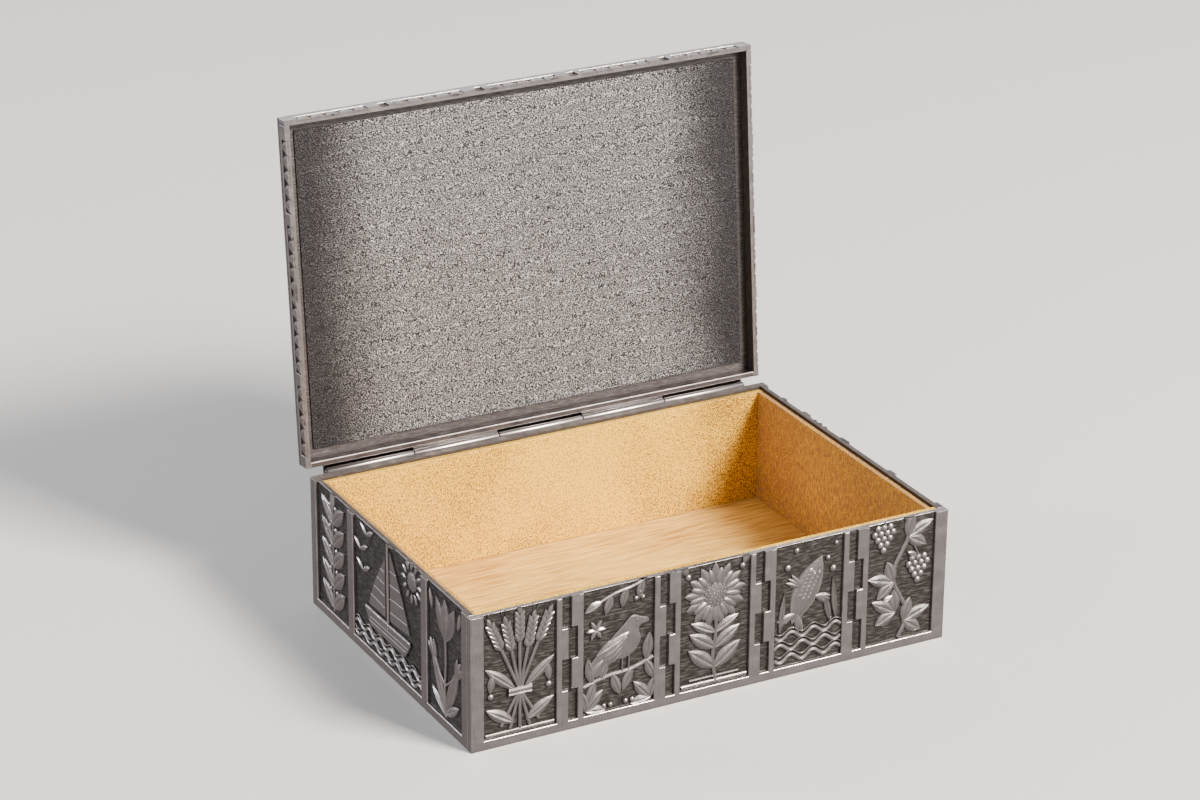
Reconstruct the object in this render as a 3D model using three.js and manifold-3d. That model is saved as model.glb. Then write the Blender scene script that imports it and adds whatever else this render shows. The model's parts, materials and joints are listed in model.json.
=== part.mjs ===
// A wood-lined metal keepsake box with a hinged lid and relief panels, open on its hinge stop.
// Millimetres, +Z up. The origin is the middle of the base's underside and the front faces -Y.
import * as THREE from "three";
import { mergeVertices } from "three/addons/utils/BufferGeometryUtils.js";
import Module from "manifold-3d";

const wasm = await Module();
wasm.setup();

// Box
const BOX_LENGTH = 165;
const BOX_DEPTH = 113;
const BODY_HEIGHT = 44;
const WALL_THICKNESS = 2.5;
const WALL_RELIEF = 1.0;
const BASE_THICKNESS = 1.8;

// Wood lining
const BOARD_THICKNESS = 2.0;
const FLOOR_THICKNESS = 2.8;
const BOARD_SETDOWN = 1.0;
const FRONT_BOARD_SETDOWN = 0.3;

// Lid
const SKIRT_HEIGHT = 4.2;
const SKIRT_THICKNESS = 1.8;
const SKIRT_RELIEF = 0.7;
const TOP_THICKNESS = 1.2;
const TOP_RELIEF = 0.5;
const SHEET_THICKNESS = 0.4;
const SHEET_MARGIN = 2.8;
const OPEN_ANGLE = 95.2;

// Hinge
const PIN_RADIUS = 0.6;
const PIN_CLEARANCE = 0.08;
const PIN_OVERHANG = 0.3;
const KNUCKLE_WALL = 0.57;
const KNUCKLE_COUNT = 5;
const KNUCKLE_GAP = 0.4;
const BARREL_STANDOFF = 0.65;
const BARREL_INSET = 6.5;
const AXIS_DROP = 0.5;
const LEAF_THICKNESS = 0.8;
const BODY_LEAF_HEIGHT = 8;
const LID_LEAF_MARGIN = 0.5;
const LIP_THICKNESS = 0.85;
const STOP_CLEARANCE = 0.3;

// Fits
const SEAM = 0.05;
const LID_SEAT = 0.2;
const EMBED = 0.2;

// Relief frames
const FRONT_STILE = 4.4;
const SIDE_STILE = 4.0;
const BOTTOM_RAIL = 3.0;
const LID_RAIL = 1.0;
const FRONT_FIELDS = 5;
const KEY_WIDTH = 9.0;
const KEY_STEP = 10.3;
const KEY_WIDE = 4.0;
const KEY_NARROW = 1.9;
const SIDE_BAR = 4.0;
const SIDE_MIDDLE = 48.0;
const BACK_BAND_MARGIN = 1.5;
const TOP_BORDER = 4.4;
const TOP_MIDDLE = 70.0;
const STAMP_DROP = 0.04;
const STAMP_LEVELS = 7;
const LEAF_HEEL = 0.07;

// Smoothness of curved outlines
const CURVE_STEPS = 3;
const ROUND_STEPS = 16;
const LIP_STEPS = 5;

// Worked out from the sizes above
const KNUCKLE_RADIUS = PIN_RADIUS + PIN_CLEARANCE + KNUCKLE_WALL;
const AXIS_SETBACK = BARREL_STANDOFF + KNUCKLE_RADIUS;
const AXIS_Y = BOX_DEPTH / 2 + AXIS_SETBACK;
const AXIS_Z = BODY_HEIGHT - AXIS_DROP;
const LIP_INNER = KNUCKLE_RADIUS + KNUCKLE_GAP;
const LIP_OUTER = LIP_INNER + LIP_THICKNESS;
const BARREL_LENGTH = BOX_LENGTH - 2 * BARREL_INSET;
const SKIRT_BOTTOM = BODY_HEIGHT + LID_SEAT;
const SKIRT_TOP = SKIRT_BOTTOM + SKIRT_HEIGHT;
const FIELD_TOP = SKIRT_TOP - LID_RAIL;
const LID_LEAF_TOP = SKIRT_TOP - LID_LEAF_MARGIN - AXIS_Z;
const BACK_FIELD_TOP = AXIS_Z - BODY_LEAF_HEIGHT - BACK_BAND_MARGIN;

const degrees = THREE.MathUtils.degToRad;

const silveredMetal = new THREE.MeshStandardMaterial({ color: 0xa39d95, roughness: 0.42, metalness: 0.9 });
const hingeMetal = new THREE.MeshStandardMaterial({ color: 0x8f8a84, roughness: 0.38, metalness: 0.9 });
const pebbledMetal = new THREE.MeshStandardMaterial({ color: 0x8a8582, roughness: 0.5, metalness: 0.9 });
const sideWood = new THREE.MeshStandardMaterial({ color: 0xd69a52, roughness: 0.6, metalness: 0 });
const floorWood = new THREE.MeshStandardMaterial({ color: 0xd9bb90, roughness: 0.65, metalness: 0 });

// Solids and geometry

function toSolid(geometry) {
  const bare = geometry.clone();
  bare.deleteAttribute("normal");
  bare.deleteAttribute("uv");
  const merged = mergeVertices(bare, 1e-4);
  const vertProperties = new Float32Array(merged.attributes.position.array);
  const triVerts = new Uint32Array(merged.index.array);
  return new wasm.Manifold(new wasm.Mesh({ numProp: 3, vertProperties, triVerts }));
}

function toGeometry(solid) {
  const mesh = solid.getMesh();
  const geometry = new THREE.BufferGeometry();
  geometry.setAttribute("position", new THREE.BufferAttribute(new Float32Array(mesh.vertProperties), 3));
  geometry.setIndex(new THREE.BufferAttribute(new Uint32Array(mesh.triVerts), 1));
  geometry.computeVertexNormals();
  return geometry;
}

function join(geometries) {
  return geometries.map(toSolid).reduce((whole, piece) => whole.add(piece));
}

function slab(x0, x1, y0, y1, z0, z1) {
  const box = new THREE.BoxGeometry(x1 - x0, y1 - y0, z1 - z0);
  return box.translate((x0 + x1) / 2, (y0 + y1) / 2, (z0 + z1) / 2);
}

function rodAlongX(radius, x0, x1) {
  const rod = new THREE.CylinderGeometry(radius, radius, x1 - x0, ROUND_STEPS);
  return rod.rotateZ(Math.PI / 2).translate((x0 + x1) / 2, 0, 0);
}

function part(name, geometry, material) {
  const mesh = new THREE.Mesh(geometry, material);
  mesh.name = name;
  return mesh;
}

// Relief stamps: flat ornaments, one unit high, in u across and v up

function stamp(shape, u = 0, v = 0, angle = 0) {
  const settings = { depth: 1, bevelEnabled: false, curveSegments: CURVE_STEPS };
  return new THREE.ExtrudeGeometry(shape, settings).rotateZ(degrees(angle)).translate(u, v, 0);
}

function outline(points) {
  return stamp(new THREE.Shape(points.map(([u, v]) => new THREE.Vector2(u, v))));
}

function rectangle(u0, u1, v0, v1) {
  return outline([[u0, v0], [u1, v0], [u1, v1], [u0, v1]]);
}

function leaf(u, v, angle, length, width) {
  const heel = -LEAF_HEEL * length;
  const shape = new THREE.Shape();
  shape.moveTo(heel, 0);
  shape.quadraticCurveTo(length * 0.45, -width, length, 0);
  shape.quadraticCurveTo(length * 0.45, width, heel, 0);
  return stamp(shape, u, v, angle);
}

function stalk(u, v, angle, length, width) {
  const shape = new THREE.Shape();
  shape.moveTo(0, -width / 2);
  shape.lineTo(length, -width / 2);
  shape.lineTo(length, width / 2);
  shape.lineTo(0, width / 2);
  return stamp(shape, u, v, angle);
}

function disc(u, v, radius, sides = 10) {
  const points = [];
  for (let i = 0; i < sides; i += 1) {
    const turn = (2 * Math.PI * i) / sides;
    points.push([u + radius * Math.cos(turn), v + radius * Math.sin(turn)]);
  }
  return outline(points);
}

function rounded(points, steps) {
  const knots = points.map(([u, v]) => new THREE.Vector3(u, v, 0));
  const curve = new THREE.CatmullRomCurve3(knots, true);
  return outline(curve.getSpacedPoints(steps).slice(0, -1).map((p) => [p.x, p.y]));
}

function wave(u0, u1, v, rise, waves, width) {
  const steps = waves * 6;
  const upper = [];
  const lower = [];
  for (let i = 0; i <= steps; i += 1) {
    const u = u0 + ((u1 - u0) * i) / steps;
    const height = v + rise * Math.sin((2 * Math.PI * waves * i) / steps);
    upper.push([u, height + width / 2]);
    lower.push([u, height - width / 2]);
  }
  return outline([...lower, ...upper.reverse()]);
}

function lobedLeaf(u, v, angle, size) {
  return [-55, 0, 55].map((spread) => leaf(u, v, angle + spread, spread ? size * 0.8 : size, size * 0.42));
}

// Motifs on a grid whose u runs from -width/2 to width/2 and whose v runs up from 0

const TALL_GRID = { width: 24, height: 44 };
const WIDE_GRID = { width: 48, height: 44 };
const SQUARE_GRID = { width: 24, height: 30 };
const MEDALLION_GRID = { width: 70, height: 104 };
const LONG_GRID = { width: 34, height: 104 };

function wheatSheaf() {
  const tieHeight = 14;
  const items = [rectangle(-3.6, 3.6, tieHeight - 1.2, tieHeight + 1.2)];
  for (const lean of [-23, -11.5, 0, 11.5, 23]) {
    const heading = 90 - lean;
    const reach = lean % 23 === 0 ? 15.5 : 13.5;
    const earU = reach * Math.cos(degrees(heading));
    const earV = tieHeight + reach * Math.sin(degrees(heading));
    items.push(stalk(0, tieHeight, heading, reach + 1, 0.9));
    items.push(stalk(0, tieHeight, 270 + lean * 1.3, 12.5, 0.9));
    items.push(leaf(earU, earV, heading, 11.5, 3.2));
  }
  for (const side of [-1, 1]) {
    items.push(leaf(side * 3, 5, 90 - side * 62, 8, 2.8));
  }
  return items;
}

function birdOnBranch() {
  const back = [[-10.4, 13.6], [-4.2, 21.8], [1.8, 27.4], [4.8, 29.8], [7.2, 28.9]];
  const breast = [[10.4, 26.9], [7.1, 25.6], [7.6, 21], [3.6, 16.6], [-2, 15.6], [-8.6, 11.6]];
  const items = [rounded([...back, ...breast], 26)];
  items.push(stalk(-11.6, 9.6, 11, 23.2, 1.7));
  items.push(stalk(1.4, 17.5, 268, 6, 0.8));
  items.push(stalk(3.6, 18, 268, 6, 0.8));
  items.push(stalk(11.6, 42, 198, 19, 1.2));
  for (const [u, v, angle] of [[-8, 10.2, 250], [-2, 11.4, 290], [4.6, 12.6, 245], [9.4, 13.6, 295]]) {
    items.push(leaf(u, v, angle, 7.6, 3.2));
  }
  for (const [u, v, angle] of [[8, 40.6, 258], [2.6, 39, 255], [-2.4, 37.4, 250], [-6, 36.4, 205]]) {
    items.push(leaf(u, v, angle, 6.2, 2.9));
  }
  items.push(leaf(9.6, 14, 84, 8, 3.2));
  items.push(leaf(-9, 10.4, 112, 6.4, 2.8));
  return items;
}

function sunflower() {
  const head = 30;
  const items = [disc(0, head, 4.4, 14), stalk(0, 1.5, 90, head - 4, 1.4), rectangle(-9.5, 9.5, 0.6, 2)];
  const petals = 13;
  for (let i = 0; i < petals; i += 1) {
    const turn = 90 + (360 * i) / petals;
    const u = 4 * Math.cos(degrees(turn));
    const v = head + 4 * Math.sin(degrees(turn));
    items.push(leaf(u, v, turn, 5.8, 2.5));
  }
  for (const side of [-1, 1]) {
    items.push(leaf(0, 6, 90 - side * 52, 11.5, 4.4));
    items.push(leaf(0, 12.5, 90 - side * 56, 10.5, 4));
    items.push(disc(side * 9.6, 40.6, 1.1, 8));
  }
  return items;
}

function leapingFish() {
  const items = [leaf(-5.2, 15.2, 64, 22, 8.6)];
  items.push(leaf(-4.2, 17.4, 206, 7.2, 3.4), leaf(-4.2, 17.4, 282, 7.2, 3.4));
  items.push(leaf(-2.2, 26.5, 142, 6.2, 3), leaf(2.6, 21.4, 338, 5.6, 2.8));
  for (const [row, v] of [3, 6.8, 10.6].entries()) {
    items.push(wave(-11.4, 11.4, v, row % 2 ? 1 : -1, 3, 1.5));
  }
  for (const [u, v, radius] of [[8.6, 29.5, 1.2], [6.6, 33.6, 0.9], [-7.6, 33, 1.2], [-4.6, 38.2, 1]]) {
    items.push(disc(u, v, radius, 8));
  }
  for (const [u, angle, length] of [[10, 96, 15], [8, 104, 10]]) {
    items.push(leaf(u, 12, angle, length, 2));
  }
  return items;
}

function grapeVine() {
  const stem = [];
  for (let i = 0; i <= 18; i += 1) {
    stem.push([2.6 * Math.sin((2 * Math.PI * i) / 12), 0.8 + (42.4 * i) / 18]);
  }
  const ribbon = [
    ...stem.map(([u, v]) => [u - 0.65, v]),
    ...stem.map(([u, v]) => [u + 0.65, v]).reverse(),
  ];
  const items = [outline(ribbon.reverse())];
  for (const [u, v, angle] of [[1.8, 6, 20], [-2.4, 20, 165], [2.4, 34.4, 25]]) {
    items.push(...lobedLeaf(u, v, angle, 8.6));
  }
  for (const [side, top] of [[1, 26.5], [-1, 39]]) {
    for (const [row, count] of [3, 2, 1].entries()) {
      for (let i = 0; i < count; i += 1) {
        items.push(disc(side * 6.4 + (i - (count - 1) / 2) * 3, top - row * 2.7, 1.6, 8));
      }
    }
  }
  return items;
}

function tulip() {
  const items = [stalk(0, 1, 90, 28, 1.3), leaf(0, 26, 90, 13, 6)];
  for (const side of [-1, 1]) {
    items.push(leaf(side * 0.4, 26, 90 - side * 24, 13.5, 5));
    items.push(leaf(0, 2, 90 - side * 27, 21, 4.6));
    items.push(stalk(0, 11, 90 - side * 52, 9.5, 1));
    items.push(leaf(side * 6.8, 16.4, 90 - side * 30, 7.5, 4));
  }
  return items;
}

function laurel(grid, pairs) {
  const pitch = (grid.height - 8) / pairs;
  const items = [stalk(0, 1, 90, grid.height - 8, 1.2), leaf(0, grid.height - 9, 90, 8, 3.4)];
  for (let i = 0; i < pairs; i += 1) {
    for (const side of [-1, 1]) {
      items.push(leaf(0, 2 + i * pitch, 90 - side * 50, grid.width * 0.4, 3.6));
    }
  }
  return items;
}

function sailingBoat() {
  const hull = outline([[-12, 8], [12.4, 8], [16.4, 13.6], [-16, 13]]);
  const mainSail = outline([[2, 15.4], [15.6, 16.4], [10, 27], [2, 38.6]]);
  const jib = outline([[-1.4, 35], [-8.6, 25], [-13.4, 15.2], [-1.4, 15.4]]);
  const pennant = outline([[0.3, 39.6], [7, 41.2], [0.3, 42.8]]);
  const items = [hull, mainSail, jib, pennant, stalk(0.3, 12, 90, 31, 1.2), disc(17, 35, 3.6, 12)];
  for (const [row, v] of [2.6, 6.2].entries()) {
    items.push(wave(-23, 23, v, row % 2 ? 0.9 : -0.9, 6, 1.5));
  }
  for (const [u, v] of [[-16, 36], [-19, 29.5]]) {
    items.push(leaf(u, v, 28, 4.6, 1.3), leaf(u, v, 152, 4.6, 1.3));
  }
  return items;
}

function rosette(grid, petals, reach) {
  const middle = grid.height / 2;
  const start = reach * 0.17;
  const items = [disc(0, middle, reach * 0.25, 10)];
  for (let i = 0; i < petals; i += 1) {
    const turn = 90 + (360 * i) / petals;
    const u = start * Math.cos(degrees(turn));
    const v = middle + start * Math.sin(degrees(turn));
    items.push(leaf(u, v, turn, reach - start, reach * 0.36));
  }
  return items;
}

function medallion() {
  const middle = MEDALLION_GRID.height / 2;
  const items = rosette(MEDALLION_GRID, 12, 24);
  const rays = 20;
  for (let i = 0; i < rays; i += 1) {
    const turn = (360 * (i + 0.5)) / rays;
    const u = 26 * Math.cos(degrees(turn));
    const v = middle + 26 * Math.sin(degrees(turn));
    items.push(leaf(u, v, turn, 7.4, 2.8));
  }
  for (const [u, v, angle] of [[-31, 4, 56], [31, 4, 124], [-31, 100, 304], [31, 100, 236]]) {
    items.push(...lobedLeaf(u, v, angle, 18));
  }
  return items;
}

// Places a motif's stamps in a field given by its middle u, its bottom v, its width and its height.
function fill(field, grid, stamps) {
  const fit = new THREE.Matrix4().makeScale(field.width / grid.width, field.height / grid.height, 1);
  fit.setPosition(field.u, field.v, 0);
  return stamps.map((item) => item.applyMatrix4(fit));
}

// The zigzag groove between two interlocking stepped bars.
function keyGroove(u, bottom, top) {
  const left = [];
  const right = [];
  const steps = Math.ceil((top - bottom) / KEY_STEP);
  for (let i = 0; i < steps; i += 1) {
    const low = bottom + i * KEY_STEP;
    const high = Math.min(low + KEY_STEP, top);
    const leftEdge = u - KEY_WIDTH / 2 + (i % 2 ? KEY_NARROW : KEY_WIDE);
    const rightEdge = u + KEY_WIDTH / 2 - (i % 2 ? KEY_WIDE : KEY_NARROW);
    left.push([leftEdge, low], [leftEdge, high]);
    right.push([rightEdge, low], [rightEdge, high]);
  }
  return outline([...right, ...left.reverse()]);
}

// The recess of a field
function recess({ u, v, width, height }) {
  return rectangle(u - width / 2, u + width / 2, v, v + height);
}

// Relief of each face: the recesses cut into the plate and the stamps that stand in them

function frontRelief() {
  const half = BOX_LENGTH / 2;
  const clear = BOX_LENGTH - 2 * FRONT_STILE - (FRONT_FIELDS - 1) * KEY_WIDTH;
  const width = clear / FRONT_FIELDS;
  const motifs = [wheatSheaf, birdOnBranch, sunflower, leapingFish, grapeVine];
  const cuts = [];
  const stamps = [];
  for (let i = 0; i < FRONT_FIELDS; i += 1) {
    const u = -half + FRONT_STILE + width / 2 + i * (width + KEY_WIDTH);
    const field = { u, v: BOTTOM_RAIL, width, height: FIELD_TOP - BOTTOM_RAIL };
    cuts.push(recess(field));
    stamps.push(...fill(field, TALL_GRID, motifs[i % motifs.length]()));
    if (i > 0) {
      cuts.push(keyGroove(u - (width + KEY_WIDTH) / 2, BOTTOM_RAIL, FIELD_TOP));
    }
  }
  return { cuts, stamps };
}

// The front end of a side face is at +u on the left wall and at -u on the right wall.
function sideRelief(frontEnd) {
  const half = BOX_DEPTH / 2;
  const clear = BOX_DEPTH - WALL_THICKNESS - 2 * SIDE_STILE - 2 * SIDE_BAR - SIDE_MIDDLE;
  const narrow = clear / 2;
  const field = (fromFront, width) => {
    const u = frontEnd * (half - fromFront - width / 2);
    return { u, v: BOTTOM_RAIL, width, height: FIELD_TOP - BOTTOM_RAIL };
  };
  const frontStart = WALL_THICKNESS + SIDE_STILE;
  const middleStart = frontStart + narrow + SIDE_BAR;
  const backStart = middleStart + SIDE_MIDDLE + SIDE_BAR;
  const front = field(frontStart, narrow);
  const middle = field(middleStart, SIDE_MIDDLE);
  const back = field(backStart, narrow);
  const stamps = [
    ...fill(front, TALL_GRID, tulip()),
    ...fill(middle, WIDE_GRID, sailingBoat()),
    ...fill(back, TALL_GRID, laurel(TALL_GRID, 5)),
  ];
  return { cuts: [front, middle, back].map(recess), stamps };
}

function backRelief() {
  const half = BOX_LENGTH / 2;
  const clear = BOX_LENGTH - 2 * WALL_THICKNESS - 2 * FRONT_STILE - (FRONT_FIELDS - 1) * KEY_WIDTH;
  const width = clear / FRONT_FIELDS;
  const start = -half + WALL_THICKNESS + FRONT_STILE;
  const cuts = [];
  const stamps = [];
  for (let i = 0; i < FRONT_FIELDS; i += 1) {
    const u = start + width / 2 + i * (width + KEY_WIDTH);
    const field = { u, v: BOTTOM_RAIL, width, height: BACK_FIELD_TOP - BOTTOM_RAIL };
    cuts.push(recess(field));
    stamps.push(...fill(field, SQUARE_GRID, rosette(SQUARE_GRID, 8, 11)));
    if (i > 0) {
      cuts.push(keyGroove(u - (width + KEY_WIDTH) / 2, BOTTOM_RAIL, BACK_FIELD_TOP));
    }
  }
  return { cuts, stamps };
}

function topRelief() {
  const bottom = -BOX_DEPTH / 2 + TOP_BORDER;
  const height = BOX_DEPTH - 2 * TOP_BORDER;
  const sideWidth = (BOX_LENGTH - 2 * TOP_BORDER - TOP_MIDDLE - 2 * KEY_WIDTH) / 2;
  const middle = { u: 0, v: bottom, width: TOP_MIDDLE, height };
  const cuts = [recess(middle)];
  const stamps = fill(middle, MEDALLION_GRID, medallion());
  for (const side of [-1, 1]) {
    const u = side * (TOP_MIDDLE / 2 + KEY_WIDTH + sideWidth / 2);
    const field = { u, v: bottom, width: sideWidth, height };
    cuts.push(recess(field), keyGroove((side * (TOP_MIDDLE + KEY_WIDTH)) / 2, bottom, bottom + height));
    stamps.push(...fill(field, LONG_GRID, laurel(LONG_GRID, 9)));
  }
  return { cuts, stamps };
}

// A plate with ornament: its frame's face is at w = 0, and stamps of several heights stand in its recesses.
function reliefPlate(u0, u1, v0, v1, thickness, relief, { cuts, stamps }) {
  const cutter = new THREE.Matrix4().makeScale(1, 1, 2 * relief).setPosition(0, 0, -relief);
  const pockets = join(cuts.map((item) => item.applyMatrix4(cutter)));
  const ornament = join(stamps.map((item, i) => {
    const height = relief * (1 - STAMP_DROP * (1 + (i % STAMP_LEVELS)));
    const raise = new THREE.Matrix4().makeScale(1, 1, height + EMBED).setPosition(0, 0, -relief - EMBED);
    return item.applyMatrix4(raise);
  }));
  const blank = toSolid(slab(u0, u1, v0, v1, -thickness, 0));
  return toGeometry(blank.subtract(pockets).add(ornament.intersect(blank)));
}

// Stands a plate on one side of the box: turn 0 is the front, and the plate's face looks outwards.
function standing(mesh, turn, distance) {
  const side = new THREE.Group();
  side.rotation.z = degrees(turn);
  mesh.rotation.x = Math.PI / 2;
  mesh.position.y = -distance;
  side.add(mesh);
  return side;
}

const LEFT = { turn: -90, frontEnd: 1 };
const RIGHT = { turn: 90, frontEnd: -1 };

function sideSpan(frontEnd, plateThickness) {
  const front = frontEnd * (BOX_DEPTH / 2 - plateThickness - SEAM);
  const back = (-frontEnd * BOX_DEPTH) / 2;
  return [front, back].sort((a, b) => a - b);
}

// Body

function walls() {
  const halfLength = BOX_LENGTH / 2;
  const halfDepth = BOX_DEPTH / 2;
  const halfBack = halfLength - WALL_THICKNESS - SEAM;
  const plate = (u0, u1, stamps) => {
    return reliefPlate(u0, u1, 0, BODY_HEIGHT, WALL_THICKNESS, WALL_RELIEF, stamps);
  };
  const front = part("front_wall", plate(-halfLength, halfLength, frontRelief()), silveredMetal);
  const back = part("back_wall", plate(-halfBack, halfBack, backRelief()), silveredMetal);
  const sides = [["left_wall", LEFT], ["right_wall", RIGHT]].map(([name, { turn, frontEnd }]) => {
    const [u0, u1] = sideSpan(frontEnd, WALL_THICKNESS);
    return standing(part(name, plate(u0, u1, sideRelief(frontEnd)), silveredMetal), turn, halfLength);
  });
  return [standing(front, 0, halfDepth), standing(back, 180, halfDepth), ...sides];
}

function basePlate() {
  const halfLength = BOX_LENGTH / 2 - WALL_THICKNESS - SEAM;
  const halfDepth = BOX_DEPTH / 2 - WALL_THICKNESS - SEAM;
  const plate = slab(-halfLength, halfLength, -halfDepth, halfDepth, 0, BASE_THICKNESS);
  return part("base_plate", plate, silveredMetal);
}

function lining() {
  const halfLength = BOX_LENGTH / 2 - WALL_THICKNESS - SEAM;
  const halfDepth = BOX_DEPTH / 2 - WALL_THICKNESS - SEAM;
  const innerLength = halfLength - BOARD_THICKNESS;
  const innerDepth = halfDepth - BOARD_THICKNESS;
  const floorBottom = BASE_THICKNESS + SEAM;
  const floorTop = floorBottom + FLOOR_THICKNESS;
  const low = floorTop + SEAM;
  const high = BODY_HEIGHT - BOARD_SETDOWN;
  const frontHigh = BODY_HEIGHT - FRONT_BOARD_SETDOWN;
  const sideEnd = innerDepth - SEAM;
  const floor = slab(-halfLength, halfLength, -halfDepth, halfDepth, floorBottom, floorTop);
  return [
    part("liner_floor", floor, floorWood),
    part("liner_front", slab(-halfLength, halfLength, -halfDepth, -innerDepth, low, frontHigh), sideWood),
    part("liner_back", slab(-halfLength, halfLength, innerDepth, halfDepth, low, high), sideWood),
    part("liner_left", slab(-halfLength, -innerLength, -sideEnd, sideEnd, low, high), sideWood),
    part("liner_right", slab(innerLength, halfLength, -sideEnd, sideEnd, low, high), sideWood),
  ];
}

// Lid, modelled shut over the body

function lidSkirts() {
  const halfLength = BOX_LENGTH / 2;
  const halfDepth = BOX_DEPTH / 2;
  const halfBack = halfLength - SKIRT_THICKNESS - SEAM;
  const plate = (u0, u1, stamps) => {
    return reliefPlate(u0, u1, SKIRT_BOTTOM, SKIRT_TOP, SKIRT_THICKNESS, SKIRT_RELIEF, stamps);
  };
  const front = part("lid_front_skirt", plate(-halfLength, halfLength, frontRelief()), silveredMetal);
  const backPlate = slab(-halfBack, halfBack, SKIRT_BOTTOM, SKIRT_TOP, -SKIRT_THICKNESS, 0);
  const back = part("lid_back_skirt", backPlate, silveredMetal);
  const sides = [["lid_left_skirt", LEFT], ["lid_right_skirt", RIGHT]].map(([name, { turn, frontEnd }]) => {
    const [u0, u1] = sideSpan(frontEnd, SKIRT_THICKNESS);
    return standing(part(name, plate(u0, u1, sideRelief(frontEnd)), silveredMetal), turn, halfLength);
  });
  return [standing(front, 0, halfDepth), standing(back, 180, halfDepth), ...sides];
}

function lidTop() {
  const halfLength = BOX_LENGTH / 2;
  const halfDepth = BOX_DEPTH / 2;
  const plate = reliefPlate(
    -halfLength, halfLength, -halfDepth, halfDepth, TOP_THICKNESS, TOP_RELIEF, topRelief(),
  );
  const top = part("lid_top_plate", plate, silveredMetal);
  top.position.z = SKIRT_TOP + SEAM + TOP_THICKNESS;
  return top;
}

function lidSheet() {
  const halfLength = BOX_LENGTH / 2 - SKIRT_THICKNESS - SHEET_MARGIN;
  const halfDepth = BOX_DEPTH / 2 - SKIRT_THICKNESS - SHEET_MARGIN;
  const high = SKIRT_TOP;
  const sheet = slab(-halfLength, halfLength, -halfDepth, halfDepth, high - SHEET_THICKNESS, high);
  return part("lid_lining_sheet", sheet, pebbledMetal);
}

// Hinge, in its axis frame: x along the pin, y away from the box, z up

function knuckleSpans(first) {
  const pitch = BARREL_LENGTH / KNUCKLE_COUNT;
  const spans = [];
  for (let i = first; i < KNUCKLE_COUNT; i += 2) {
    const start = -BARREL_LENGTH / 2 + i * pitch;
    spans.push([start + KNUCKLE_GAP / 2, start + pitch - KNUCKLE_GAP / 2]);
  }
  return spans;
}

// The curved lip beside the barrel: the lips of the two leaves meet at the open stop.
function stopLip() {
  const stopFace = degrees(OPEN_ANGLE / 2) + Math.atan(STOP_CLEARANCE / (LIP_INNER + LIP_OUTER));
  const leafFace = -AXIS_SETBACK + LEAF_THICKNESS;
  const root = leafFace - LEAF_THICKNESS / 2;
  const shape = new THREE.Shape();
  shape.absarc(0, 0, LIP_INNER, stopFace, Math.acos(Math.max(root / LIP_INNER, -1)), false);
  shape.absarc(0, 0, LIP_OUTER, Math.acos(root / LIP_OUTER), stopFace, true);
  const settings = { depth: BARREL_LENGTH, bevelEnabled: false, curveSegments: LIP_STEPS };
  const turnToAxis = new THREE.Matrix4().makeBasis(
    new THREE.Vector3(0, 1, 0), new THREE.Vector3(0, 0, 1), new THREE.Vector3(1, 0, 0),
  );
  const lip = new THREE.ExtrudeGeometry(shape, settings).applyMatrix4(turnToAxis);
  return lip.translate(-BARREL_LENGTH / 2, 0, 0);
}

// A leaf that stands up from the barrel and carries every second knuckle, from the given one on.
function hingeLeaf(first, height) {
  const inner = -AXIS_SETBACK + SEAM;
  const outer = -AXIS_SETBACK + LEAF_THICKNESS;
  const half = BARREL_LENGTH / 2;
  const pieces = [slab(-half, half, inner, outer, LIP_INNER, height), stopLip()];
  for (const [start, end] of knuckleSpans(first)) {
    pieces.push(slab(start, end, inner, outer, 0, LIP_INNER + EMBED));
    pieces.push(rodAlongX(KNUCKLE_RADIUS, start, end));
  }
  const bore = toSolid(rodAlongX(PIN_RADIUS + PIN_CLEARANCE, -half - EMBED, half + EMBED));
  return toGeometry(join(pieces).subtract(bore));
}

function bodyLeaf() {
  const leafMesh = part("hinge_body_leaf", hingeLeaf(0, BODY_LEAF_HEIGHT), hingeMetal);
  leafMesh.geometry.applyMatrix4(new THREE.Matrix4().makeScale(-1, 1, -1));
  leafMesh.position.set(0, AXIS_Y, AXIS_Z);
  return leafMesh;
}

function lidLeaf() {
  const leafMesh = part("hinge_lid_leaf", hingeLeaf(1, LID_LEAF_TOP), hingeMetal);
  leafMesh.position.set(0, AXIS_Y, AXIS_Z);
  return leafMesh;
}

function hingePin() {
  const half = BARREL_LENGTH / 2 + PIN_OVERHANG;
  const pin = part("hinge_pin", rodAlongX(PIN_RADIUS, -half, half), hingeMetal);
  pin.position.set(0, AXIS_Y, AXIS_Z);
  return pin;
}

const box = new THREE.Group();
box.add(basePlate(), ...walls(), ...lining(), bodyLeaf(), hingePin());

// The lid turns back about the hinge axis from shut to its open stop.
const lid = new THREE.Group();
lid.position.set(0, -AXIS_Y, -AXIS_Z);
lid.add(lidTop(), lidSheet(), ...lidSkirts(), lidLeaf());

const lidPivot = new THREE.Group();
lidPivot.position.set(0, AXIS_Y, AXIS_Z);
lidPivot.rotation.x = -degrees(OPEN_ANGLE);
lidPivot.add(lid);

const keepsakeBox = new THREE.Group();
keepsakeBox.add(box, lidPivot);

export default keepsakeBox;
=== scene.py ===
"""Looks of a wood-lined metal keepsake box with relief panels and a hinged lid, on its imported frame."""

import json
import math
from functools import cache, partial

import bmesh
import bpy
from bpy.props import FloatProperty, FloatVectorProperty, PointerProperty
from mathutils import Matrix, Vector


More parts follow.
